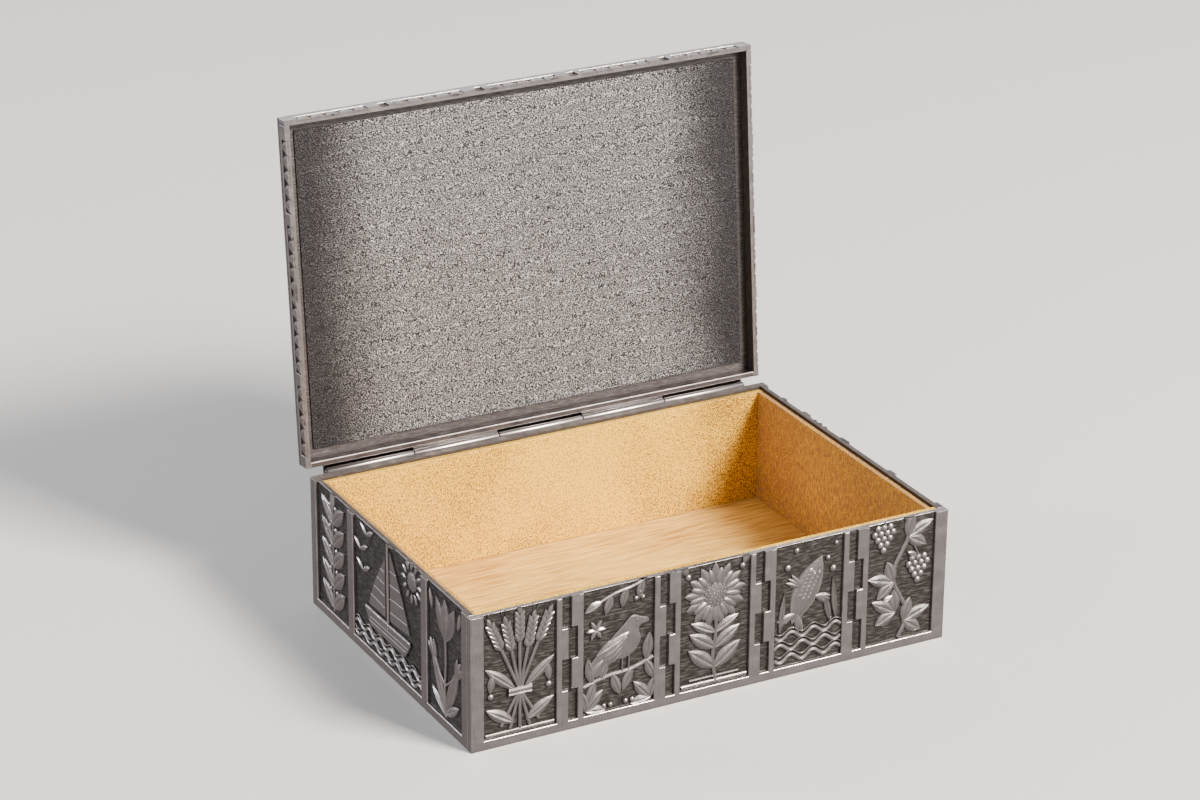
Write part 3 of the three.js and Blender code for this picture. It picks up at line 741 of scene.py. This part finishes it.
def cut_plate(name, u_span, v_span, thickness, relief, cells):
    """A plate whose cells are pushed in to the ground, with its edges eased."""
    low, high = v_span[0] - PLATE_TRIM, v_span[1] + PLATE_TRIM
    # A cell that starts at the plate's foot runs past it, and one that ends there is left out, so that no
    # step lies in the trimmed end.
    foot = v_span[0] + FLAT
    cells = [((u0, v0 if v0 > foot else low - PLATE_TRIM), end) for (u0, v0), end in cells if end[1] > foot]
    plate = add_block(name, (u_span[0], low, -thickness), (u_span[1], high, 0))
    edit(plate)
    for axis in (0, 1):
        normal = Vector((axis == 0, axis == 1, 0))
        for place in sorted({round(corner[axis], 7) for cell in cells for corner in cell}):
            bpy.ops.mesh.select_all(action="SELECT")
            bpy.ops.mesh.bisect(plane_co=normal * place, plane_no=normal)
    bpy.ops.mesh.select_mode(type="FACE")
    bpy.ops.mesh.select_all(action="DESELECT")
    shape = bmesh.from_edit_mesh(plate.data)
    for face in shape.faces:
        u, v, w = face.calc_center_median()
        inside = any(u0 < u < u1 and v0 < v < v1 for (u0, v0), (u1, v1) in cells)
        face.select_set(inside and w > -relief / 2 and face.normal.z > 0.5)
    bmesh.update_edit_mesh(plate.data)
    bpy.ops.mesh.extrude_region_move(TRANSFORM_OT_translate={"value": (0, 0, -relief)})
    leave_edit()
    put_in_order(plate)
    edit(plate)
    bpy.ops.mesh.dissolve_limited(angle_limit=math.radians(COPLANAR))
    leave_edit()
    put_in_order(plate)
    ease_edges(plate, EASE * relief, 3)
    for v, outward in zip(v_span, SIDES):
        put_in_order(plate)
        edit(plate)
        bpy.ops.mesh.bisect(plane_co=(0, v, 0), plane_no=(0, outward, 0), use_fill=True, clear_outer=True)
        leave_edit()
    put_in_order(plate)
    ease_edges(plate, RIM_EASE, 1)
    put_in_order(plate)
    return plate


def mark_relief(piece, relief, v_span, cut_end_painted_shade_lift):
    """Stores how far each corner stands above the ground, from 0 to 1 at the frame, and a flat map in metres.

    The plate's back and cut ends have a lift of their own, darker than rubbed metal as painted shade, and the
    eased rims are rubbed bright.
    """
    mesh = piece.data
    mesh.attributes.new("lift", "FLOAT", "CORNER")
    mesh.uv_layers.new(name="panel")
    lift = mesh.attributes["lift"].data
    flat = mesh.uv_layers["panel"].data
    rim = 1.1 * RIM_EASE
    below_ground = -1.02 * relief
    for face in mesh.polygons:
        heights = [mesh.vertices[i].co.y for i in face.vertices]
        from_end = min(max(abs(height - v) for height in heights) for v in v_span)
        for i in face.loop_indices:
            point = mesh.vertices[mesh.loops[i].vertex_index].co
            # Painted shade: the back and the cut ends are set darker than rubbed metal; the eased rims are
            # rubbed bright
            if from_end < FLAT:
                lift[i].value = cut_end_painted_shade_lift
            elif from_end < rim:
                lift[i].value = 1
            elif point.z < below_ground:
                lift[i].value = BACK_PAINTED_SHADE_LIFT
            else:
                lift[i].value = min(1, max(0, 1 + point.z / relief))
            flat[i].uv = point.xy


def relief_plate(name, u_span, v_span, thickness, relief, layout, cut_end_painted_shade_lift=1.0, edged=False):
    """A plate with a cut frame; layout is its fields, each with its grid and its motif, and its grooves."""
    fields, grooves = layout
    cells = [field for field, *motif in fields] + grooves
    plate = cut_plate(name, u_span, v_span, thickness, relief, cells)
    items = [item for field in fields for item in fill(*field, relief, edged)]
    ornament = gather("ornament", items, v_span)
    pick(plate)
    ornament.select_set(True)
    bpy.ops.object.join()
    smooth_edges(plate, SMOOTH_RELIEF)
    mark_relief(plate, relief, v_span, cut_end_painted_shade_lift)
    return plate


def facing(turn, distance):
    """Stands a plate that lies face up on one side of the box."""
    return turned(turn, "Z") @ Matrix.Translation((0, -distance, 0)) @ turned(90, "X")


def upright_plate(node, turn, corners, relief, layout, cut_end_painted_shade_lift, edged):
    """A relief plate for a node, standing between the node's corners on one side of the shut box."""
    low, high = corners
    away = facing(turn, 0).inverted()
    ends = [away @ low, away @ high]
    u_span = sorted(end.x for end in ends)
    depths = sorted(end.z for end in ends)
    spans = u_span, (low.z, high.z)
    plate = relief_plate(node + "_relief", *spans, depths[1] - depths[0], relief, layout, cut_end_painted_shade_lift, edged)
    plate.data.transform(facing(turn, depths[1]))
    return plate


# Layout of each face

def row_of_fields(sizes, node, top, grid, motifs):
    """Fields in a row with a stepped-key strip between every two."""
    half_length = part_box(node)[1].x
    bottom = sizes.bottom_rail
    clear = 2 * (half_length - sizes.front_stile) - (len(motifs) - 1) * sizes.key_width
    width = clear / len(motifs)
    fields, grooves = [], []
    for i, motif in enumerate(motifs):
        left = -half_length + sizes.front_stile + i * (width + sizes.key_width)
        fields.append((((left, bottom), (left + width, top)), grid, motif))
        if i > 0:
            grooves += key_groove(sizes, left - sizes.key_width / 2, bottom, top)
    return fields, grooves


def row_on_a_side(sizes, top, front_end):
    """Three fields with plain bars between; the front end is at +u on the left side and -u on the right."""
    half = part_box("left_wall")[1].y
    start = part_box("front_wall")[1].y + half + sizes.side_stile
    clear = 2 * half - start - sizes.side_stile - 2 * sizes.side_bar - sizes.side_middle
    row = (
        (clear / 2, TALL_GRID, tulip()), (sizes.side_middle, WIDE_GRID, sailing_boat()),
        (clear / 2, TALL_GRID, laurel(TALL_GRID, 5)),
    )
    fields = []
    for width, grid, motif in row:
        left, right = sorted(front_end * (half - place) for place in (start, start + width))
        fields.append((((left, sizes.bottom_rail), (right, top)), grid, motif))
        start += width + sizes.side_bar
    return fields, []


def layout_of(turn, sizes, top):
    """The fields and the grooves on one side of the box."""
    if turn == FRONT:
        motifs = (wheat_sheaf(), bird_on_branch(), sunflower(), leaping_fish(), grape_vine())
        return row_of_fields(sizes, "front_wall", top, TALL_GRID, motifs)
    if turn == BACK:
        band_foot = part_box("back_wall")[1].z - sizes.back_band
        return row_of_fields(sizes, "back_wall", band_foot, SQUARE_GRID, [square_rosette()] * 5)
    return row_on_a_side(sizes, top, 1 if turn == LEFT else -1)


def top_layout(sizes, half_length, half_depth):
    bottom, top = -half_depth + sizes.top_border, half_depth - sizes.top_border
    middle = sizes.top_middle / 2
    outer = half_length - sizes.top_border
    fields, grooves = [(((-middle, bottom), (middle, top)), MEDALLION_GRID, medallion())], []
    for side in SIDES:
        left, right = sorted((side * (middle + sizes.key_width), side * outer))
        fields.append((((left, bottom), (right, top)), LONG_GRID, laurel(LONG_GRID, 9)))
        grooves += key_groove(sizes, side * (middle + sizes.key_width / 2), bottom, top)
    return fields, grooves


# Materials

def feed(node, inputs):
    """Sets inputs, by name or index, to values, or links them from sockets or nodes' first outputs in use."""
    for key, value in inputs.items():
        if isinstance(value, bpy.types.Node):
            value = next(output for output in value.outputs if output.enabled)
        if isinstance(value, bpy.types.NodeSocket):
            node.id_data.links.new(value, node.inputs[key])
        else:
            node.inputs[key].default_value = value


def add_node(tree, kind, *values, named=None, **settings):
    """Adds a node with its settings; its inputs in use are fed in their order, and others by their names."""
    node = tree.nodes.new("ShaderNode" + kind)
    for key, value in settings.items():
        setattr(node, key, value)
    in_use = [i for i, socket in enumerate(node.inputs) if socket.enabled]
    feed(node, dict(zip(in_use, values)))
    feed(node, named or {})
    return node


@cache
def finish_of(maker):
    """A maker's material, made at its first use; the maker adds nodes and returns the shader's inputs."""
    material = bpy.data.materials.new(maker.__name__)
    material.use_nodes = True
    tree = material.node_tree
    feed(tree.nodes["Principled BSDF"], maker(partial(add_node, tree), bpy.context.scene.keepsake_colours))
    return material


def pitch(*sizes_mm):
    """The texture scale that gives a pattern a size in millimetres, or one size along each axis."""
    scales = [1 / (size * MM) for size in sizes_mm]
    return scales if len(scales) > 1 else scales[0]


def silvered_relief(add, colours):
    """Silver-plated brass, struck in relief, blackened and rubbed back."""
    # Rubbed faces are pale and satin with hairlines; the chased ground is dark and dull, its crests rubbed.
    flat = add("UVMap", uv_map="panel")
    lift = add("Attribute", attribute_name="lift").outputs["Fac"]
    place = add("TexCoord").outputs["Object"]
    # Chased strokes of the ground lie along the plate, three millimetres long.
    strokes = add("TexNoise", add("Mapping", flat, named={"Scale": pitch(3.0, 0.6, 1)}), 1.0, 2.0)
    # Hairlines of the rubbing are drawn about five times too coarse, so that they show.
    hairs = add("TexNoise", add("Mapping", flat, named={"Scale": pitch(0.35, 9.0, 1)}), 1.0, 2.0)
    cloud = add("TexNoise", place, pitch(4.5), 4.0)
    shade = add("AmbientOcclusion", named={"Distance": 1.1 * MM}, samples=6).outputs["AO"]
    # Besides the rubbing, the lift carries painted shade on the plates' backs, wall tops and skirt rims
    bright_share_with_painted_light = add("MapRange", lift, 0.12, 0.86, interpolation_type="SMOOTHSTEP")
    ground = add("Math", 1.0, bright_share_with_painted_light, operation="SUBTRACT")
    crests = add("MapRange", strokes, 0.46, 0.72, 0.0, 0.13)
    caught = add("Math", crests, ground, operation="MULTIPLY")
    lines = add("MapRange", hairs, *NOISE_SPAN, 0.76, 1.1)
    spread = add("MapRange", cloud, *NOISE_SPAN, 0.86, 1.08)
    worn = add("Math", lines, spread, operation="MULTIPLY")
    faces = add("Math", bright_share_with_painted_light, worn, caught, operation="MULTIPLY_ADD")
    unshaded = add("MapRange", shade, 0.3, 0.95, 0.25, 1.0)
    metal_share_with_painted_shade = add("Math", faces, unshaded, operation="MULTIPLY", use_clamp=True)
    tone = add("Mix", metal_share_with_painted_shade, colours.patina, colours.metal, data_type="RGBA")
    gloss = add("MapRange", metal_share_with_painted_shade, 0.0, 1.0, 0.5, 0.27)
    metal = add("MapRange", metal_share_with_painted_shade, 0.0, 0.6, 0.4, 1.0)
    # Rubbed faces are never quite flat, so their mirroring drifts over a few millimetres.
    dents = add("TexNoise", place, pitch(5.0), 1.0)
    wavy = add("Bump", 1.0, 0.35 * MM, named={"Height": dents})
    fine = add("Bump", 0.12, 0.1 * MM, named={"Height": hairs, "Normal": wavy})
    chased = add("Bump", ground, 0.2 * MM, named={"Height": strokes, "Normal": fine})
    return {"Base Color": tone, "Roughness": gloss, "Metallic": metal, "Normal": chased}


def silvered_sheet(add, colours):
    """Silver-plated brass sheet, rolled and rubbed."""
    # Plain faces are satin and a little cloudy with handling, and are kept mostly dark as painted shade for
    # the lid's back strip in shadow; their eased edges are rubbed bright.
    place = add("TexCoord").outputs["Object"]
    edge = add("Attribute", attribute_name="edge").outputs["Fac"]
    cloud = add("TexNoise", place, pitch(6), 4.0)
    faces = add("MapRange", cloud, 0.3, 0.75, 0.12, 0.38)
    metal_share_with_painted_shade = add("Math", faces, edge, operation="MAXIMUM")
    tone = add("Mix", metal_share_with_painted_shade, colours.patina, colours.metal, data_type="RGBA")
    gloss = add("MapRange", cloud, *NOISE_SPAN, 0.48, 0.32)
    # Rolling lines are drawn several times too coarse, so that they show.
    lines = add("TexNoise", add("Mapping", place, named={"Scale": pitch(6.0, 0.25, 0.25)}), 1.0, 2.0)
    fine = add("Bump", 0.15, 0.1 * MM, named={"Height": lines})
    return {"Base Color": tone, "Roughness": gloss, "Metallic": 1.0, "Normal": fine}


def drawn_hinge_brass(add, colours):
    """Plated brass hinge, drawn along its barrel."""
    # Drawn lines run along the bright barrel; the leaves behind it are painted mostly in the dark patina
    # colour as painted shade, for the shadow they lie in under the lid.
    place = add("TexCoord").outputs["Object"]
    barrel = add("Attribute", attribute_name="barrel").outputs["Fac"]
    lines = add("TexNoise", add("Mapping", place, named={"Scale": pitch(14.0, 0.3, 0.3)}), 1.0, 3.0)
    worn = add("MapRange", lines, 0.3, 0.6, 0.7, 1.0)
    bright_share_with_painted_light = add("MapRange", barrel, 0.0, 1.0, 0.35, 1.0)
    metal_share_with_painted_shade = add("Math", bright_share_with_painted_light, worn, operation="MULTIPLY")
    tone = add("Mix", metal_share_with_painted_shade, colours.patina, colours.hinge, data_type="RGBA")
    gloss = add("MapRange", lines, *NOISE_SPAN, 0.34, 0.26)
    fine = add("Bump", 0.07, 0.1 * MM, named={"Height": lines})
    return {"Base Color": tone, "Roughness": gloss, "Metallic": 1.0, "Normal": fine}


def pebbled_plate(add, colours):
    """Plated sheet rolled with a pebbled grain."""
    # Each grain is a bright crown in a dark valley, so the sheet glitters; a painted reflection of a broad
    # light leaves the middle bright and the ends dark.
    painted_reflection_start, painted_reflection_full, wander = 46 * MM, 74 * MM, 3 * MM
    place = add("TexCoord").outputs["Object"]
    grain = add("TexNoise", place, pitch(0.38), 0.5)
    cloud = add("TexNoise", place, pitch(25), 3.0)
    across = add("SeparateXYZ", place).outputs["X"]
    from_middle = add("Math", across, operation="ABSOLUTE")
    drift = add("MapRange", cloud, *NOISE_SPAN, -wander, wander)
    reach = add("Math", from_middle, drift, operation="ADD")
    bright_share_with_painted_light = add("MapRange", reach, painted_reflection_start, painted_reflection_full, 1.0, 0.12, interpolation_type="SMOOTHSTEP")
    height = add("MapRange", grain, 0.27, 0.77)
    crown = add("Math", height, 2.0, operation="POWER")
    crowns_with_painted_reflection = add("Math", crown, bright_share_with_painted_light, operation="MULTIPLY")
    tone = add("Mix", crowns_with_painted_reflection, colours.pebble_valley, colours.pebble, data_type="RGBA")
    gloss = add("MapRange", cloud, *NOISE_SPAN, 0.66, 0.74)
    bumps = add("Bump", 0.7, 0.3 * MM, named={"Height": grain})
    return {"Base Color": tone, "Roughness": gloss, "Metallic": 1.0, "Normal": bumps}


def oiled_beech(add, colours):
    """Oiled beech boards, cut so that short rays stand upright in them."""
    # Small upright flecks glint on a golden ground that deepens in slow clouds; the end boards are painted
    # browner and darker as painted shade, for the board that faces away from the key light.
    place = add("TexCoord").outputs["Object"]
    flecks = add("TexNoise", add("Mapping", place, named={"Scale": pitch(0.3, 0.3, 0.55)}), 1.0, 2.0)
    cloud = add("TexNoise", place, pitch(45), 2.0)
    both = add("Math", cloud, 0.3, flecks, operation="MULTIPLY_ADD")
    figure = add("MapRange", both, 0.55, 0.7)
    face = add("Mix", figure, colours.side_wood_fleck, colours.side_wood, data_type="RGBA")
    deep = add("Attribute", attribute_name="end_board_shade").outputs["Fac"]
    streaks = add("TexNoise", add("Mapping", place, named={"Scale": pitch(0.5, 0.5, 2.6)}), 1.0, 2.0)
    heart = add("MapRange", streaks, 0.38, 0.62, 0.3, 1.0)
    end_board_shade = add("Math", deep, heart, operation="MULTIPLY")
    tone = add("Mix", end_board_shade, face, colours.side_wood_painted_shade, data_type="RGBA")
    gloss = add("MapRange", flecks, 0.35, 0.65, 0.6, 0.38)
    pores = add("Bump", 0.3, 0.15 * MM, named={"Height": flecks})
    return {"Base Color": tone, "Roughness": gloss, "Normal": pores}


def bare_beech(add, colours):
    """Bare pale beech board, grain along the box."""
    # Fine straight lines run lengthwise on a pale, dry face.
    place = add("TexCoord").outputs["Object"]
    lines = add("TexNoise", add("Mapping", place, named={"Scale": pitch(11.0, 0.4, 0.4)}), 1.0, 4.0)
    cloud = add("TexNoise", place, pitch(30), 2.0)
    both = add("Math", cloud, 0.4, lines, operation="MULTIPLY_ADD")
    figure = add("MapRange", both, 0.52, 0.84)
    tone = add("Mix", figure, colours.floor_wood_line, colours.floor_wood, data_type="RGBA")
    pores = add("Bump", 0.2, 0.15 * MM, named={"Height": lines})
    return {"Base Color": tone, "Roughness": 0.62, "Normal": pores}


def painted_floor(add, colours):
    """Painted studio board."""
    # Plain, pale and dull.
    return {"Base Color": colours.floor, "Roughness": 0.7}


# Operators

class KEEPSAKE_OT_walls(bpy.types.Operator):
    """Builds the four relief walls of the body"""
    bl_idname = "keepsake.walls"
    bl_label = "Relief Walls"

    def execute(self, context):
        sizes = context.scene.keepsake_sizes
        relief = sizes.wall_relief
        field_top = shut_box("lid_front_skirt")[1].z - sizes.lid_rail
        turns = {"front_wall": FRONT, "back_wall": BACK, "left_wall": LEFT, "right_wall": RIGHT}
        for node, turn in turns.items():
            layout = layout_of(turn, sizes, field_top)
            plate = upright_plate(node, turn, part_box(node), relief, layout, WALL_TOP_PAINTED_SHADE_LIFT, False)
            settle(plate, "box", silvered_relief, node)
        return {"FINISHED"}


class KEEPSAKE_OT_base(bpy.types.Operator):
    """Builds the base plate under the wooden floor"""
    bl_idname = "keepsake.base"
    bl_label = "Base Plate"

    def execute(self, context):
        base = add_block("base_sheet", *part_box("base_plate"))
        ease_edges(base, context.scene.keepsake_sizes.arris)
        smooth_edges(base, SMOOTH_SHEET)
        settle(base, "box", silvered_sheet, "base_plate")
        return {"FINISHED"}


class KEEPSAKE_OT_lining(bpy.types.Operator):
    """Builds the five wooden boards of the lining"""
    bl_idname = "keepsake.lining"
    bl_label = "Wood Lining"

    def execute(self, context):
        # Each board's wood, its slot and how much painted shade browns and darkens it, from 0 to 1
        boards = {
            "liner_floor": (bare_beech, "floor_wood", 0),
            "liner_front": (oiled_beech, "side_wood", 0),
            "liner_back": (oiled_beech, "side_wood", 0),
            "liner_left": (oiled_beech, "side_wood", 0.85),
            "liner_right": (oiled_beech, "side_wood", 1.0),
        }
        for node, (maker, slot, depth) in boards.items():
            board = add_block(node + "_board", *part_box(node))
            ease_edges(board, context.scene.keepsake_sizes.board_arris, 3)
            smooth_edges(board, SMOOTH_SHEET)
            mark_faces(board, "end_board_shade", lambda face: depth)
            settle(board, "box", maker, node)
        return {"FINISHED"}


class KEEPSAKE_OT_lid(bpy.types.Operator):
    """Builds the lid: its relief skirts and top, its back strip and the pebbled sheet inside"""
    bl_idname = "keepsake.lid"
    bl_label = "Lid"

    def execute(self, context):
        sizes = context.scene.keepsake_sizes
        self.skirts(sizes)
        self.top(sizes)
        self.plain_sheets(sizes)
        return {"FINISHED"}

    def skirts(self, sizes):
        relief = sizes.skirt_relief
        turns = {"lid_front_skirt": FRONT, "lid_left_skirt": LEFT, "lid_right_skirt": RIGHT}
        for node, turn in turns.items():
            corners = shut_box(node)
            layout = layout_of(turn, sizes, corners[1].z - sizes.lid_rail)
            plate = upright_plate(node, turn, corners, relief, layout, SKIRT_RIM_PAINTED_SHADE_LIFT, True)
            plate.data.transform(LID_OPENING)
            settle(plate, "lid", silvered_relief, node)

    def top(self, sizes):
        low, high = shut_box("lid_top_plate")
        middle = (low + high) / 2
        half = (high - low) / 2
        relief = sizes.top_relief
        layout = top_layout(sizes, half.x, half.y)
        spans = (-half.x, half.x), (-half.y, half.y)
        plate = relief_plate("lid_top_relief", *spans, 2 * half.z, relief, layout)
        plate.data.transform(LID_OPENING @ Matrix.Translation((middle.x, middle.y, high.z)))
        settle(plate, "lid", silvered_relief, "lid_top_plate")

    def plain_sheets(self, sizes):
        sheets = (
            ("lid_back_skirt", "lid_back_strip", silvered_sheet, "silvered_metal"),
            ("lid_lining_sheet", "lid_pebbled_sheet", pebbled_plate, "pebbled_metal"),
        )
        for node, name, maker, slot in sheets:
            sheet = add_block(name, *shut_box(node))
            ease_edges(sheet, sizes.lip)
            smooth_edges(sheet, SMOOTH_SHEET)
            mark_faces(sheet, "edge", self.on_eased_edge)
            sheet.data.transform(LID_OPENING)
            settle(sheet, "lid", maker, node)

    @staticmethod
    def on_eased_edge(face):
        """1 on the eased edges of an upright block and 0 on its flat faces."""
        return float(max(abs(share) for share in face.normal) < 0.99)


class KEEPSAKE_OT_hinge(bpy.types.Operator):
    """Builds the two hinge leaves with their knuckles, and the pin"""
    bl_idname = "keepsake.hinge"
    bl_label = "Hinge"

    def execute(self, context):
        sizes = context.scene.keepsake_sizes
        for node, body in (("hinge_body_leaf", "box"), ("hinge_lid_leaf", "lid"), ("hinge_pin", "box")):
            piece = bpy.data.objects.new(node + "_drawn", frame["nodes"][node].data.copy())
            context.scene.collection.objects.link(piece)
            edit(piece)
            bpy.ops.mesh.remove_doubles(threshold=WELD)
            bpy.ops.mesh.dissolve_limited(angle_limit=math.radians(COPLANAR))
            leave_edit()
            ease_edges(piece, sizes.hinge_arris)
            smooth(piece, SMOOTH_RELIEF)
            self.mark_barrel(piece, 1.04 * sizes.barrel / 2)
            settle(piece, body, drawn_hinge_brass, node)
        return {"FINISHED"}

    def mark_barrel(self, piece, reach):
        """Stores 1 on the faces of the barrel round the hinge's axis and 0 on the leaves."""
        away = [(point.co - HINGE_POINT).yz.length for point in piece.data.vertices]
        mark_faces(piece, "barrel", lambda face: float(max(away[i] for i in face.vertices) < reach))


class KEEPSAKE_OT_stage(bpy.types.Operator):
    """Sets the floor, the studio lights and the camera"""
    bl_idname = "keepsake.stage"
    bl_label = "Stage"

    def execute(self, context):
        self.floor(context)
        self.world(context)
        self.lights(context)
        self.camera(context)
        return {"FINISHED"}

    def floor(self, context):
        deselect()
        bpy.ops.mesh.primitive_plane_add(size=FLOOR_WIDTH, location=(0, 0, -FLOOR_DROP))
        floor = context.object
        floor.name = "studio_floor"
        floor.data.materials.append(finish_of(painted_floor))
        # The metal mirrors the dim studio, as it does on a dark table, and not the pale floor.
        floor.visible_glossy = False

    def world(self, context):
        world = bpy.data.worlds.new("studio")
        world.use_nodes = True
        tree = world.node_tree
        add = partial(add_node, tree)
        # Bright at the horizon and dimmer below and above it, so that rounded metal is graded.
        sky = add("TexCoord").outputs["Generated"]
        level = add("SeparateXYZ", sky).outputs["Z"]
        foot = add("MapRange", level, -0.8, 0.0, NADIR, HORIZON)
        head = add("MapRange", level, 0.0, 0.5, HORIZON, ZENITH)
        graded = add("Math", foot, head, operation="MINIMUM")
        # A dark flag stands behind on the left, so that the left wall mirrors less light than the front.
        near = add("VectorMath", sky, FLAG_TOWARDS, operation="DOT_PRODUCT")
        flag = add("MapRange", near, *FLAG_EDGE, 1.0, FLAG_LIGHT)
        strength = add("Math", graded, flag, operation="MULTIPLY")
        feed(tree.nodes["Background"], {"Color": linear("#d3cdc8"), "Strength": strength})
        context.scene.world = world

    def lights(self, context):
        aim = Vector((0, 0, 40 * MM))
        # Each lamp's place and size in metres, its power in watts and its colour
        lamps = {
            "key_softbox": ((0.96, -1.6, 1.52), (0.8, 0.56), 200, "#fff6ea"),
            "low_softbox": ((0.7, -1.35, 0.22), (0.7, 0.4), 4, "#ffffff"),
            "left_softbox": ((-1.5, -0.3, 1.0), (1.6, 1.0), 11, "#f4f7ff"),
            "left_strip": ((-1.2, 0.9, 0.45), (0.12, 0.8), 14, "#f4f7ff"),
            "right_softbox": ((1.5, 0.3, 1.0), (1.6, 1.0), 9, "#f4f7ff"),
            "back_softbox": ((0.0, 1.7, 1.1), (2.4, 1.1), 15, "#f4f7ff"),
        }
        for name, (place, (width, height), power, code) in lamps.items():
            bpy.ops.object.light_add(type="AREA", location=place)
            lamp = context.object
            lamp.name = name
            lamp.data.shape = "RECTANGLE"
            lamp.data.size = width
            lamp.data.size_y = height
            lamp.data.energy = power
            lamp.data.color = linear(code)[:3]
            lamp.rotation_euler = (Vector(place) - aim).to_track_quat("Z", "Y").to_euler()

    def camera(self, context):
        data = bpy.data.cameras.new("photo_view")
        data.sensor_width = SENSOR_WIDTH
        data.lens = VIEW_FOCAL_PIXELS * SENSOR_WIDTH / VIEW_WIDTH_PIXELS
        camera = bpy.data.objects.new("photo_view", data)
        context.scene.collection.objects.link(camera)
        towards = turned(VIEW_AZIMUTH, "Z") @ turned(90 - VIEW_ELEVATION, "X") @ turned(VIEW_ROLL, "Z")
        camera.matrix_world = Matrix.Translation(VIEW_POINT) @ towards
        context.scene.camera = camera


OPERATORS = (
    KEEPSAKE_OT_walls, KEEPSAKE_OT_base, KEEPSAKE_OT_lining, KEEPSAKE_OT_lid, KEEPSAKE_OT_hinge,
    KEEPSAKE_OT_stage,
)


class KEEPSAKE_PT_panel(bpy.types.Panel):
    """Lists the box's pieces and settings"""
    bl_label = "Keepsake Box"
    bl_idname = "KEEPSAKE_PT_panel"
    bl_space_type = "VIEW_3D"
    bl_region_type = "UI"
    bl_category = "Keepsake"

    def draw(self, context):
        for operator in OPERATORS:
            self.layout.operator(operator.bl_idname)
        for settings in (context.scene.keepsake_sizes, context.scene.keepsake_colours):
            column = self.layout.column()
            for name in settings.__annotations__:
                column.prop(settings, name)


CLASSES = (KeepsakeSizes, KeepsakeColours, *OPERATORS, KEEPSAKE_PT_panel)


def register():
    for cls in CLASSES:
        bpy.utils.register_class(cls)
    bpy.types.Scene.keepsake_sizes = PointerProperty(type=KeepsakeSizes)
    bpy.types.Scene.keepsake_colours = PointerProperty(type=KeepsakeColours)


def unregister():
    del bpy.types.Scene.keepsake_colours
    del bpy.types.Scene.keepsake_sizes
    for cls in reversed(CLASSES):
        bpy.utils.unregister_class(cls)


def main():
    register()
    bpy.ops.keepsake.walls()
    bpy.ops.keepsake.base()
    bpy.ops.keepsake.lining()
    bpy.ops.keepsake.lid()
    bpy.ops.keepsake.hinge()
    bpy.ops.keepsake.stage()


if __name__ == "__main__":
    main()
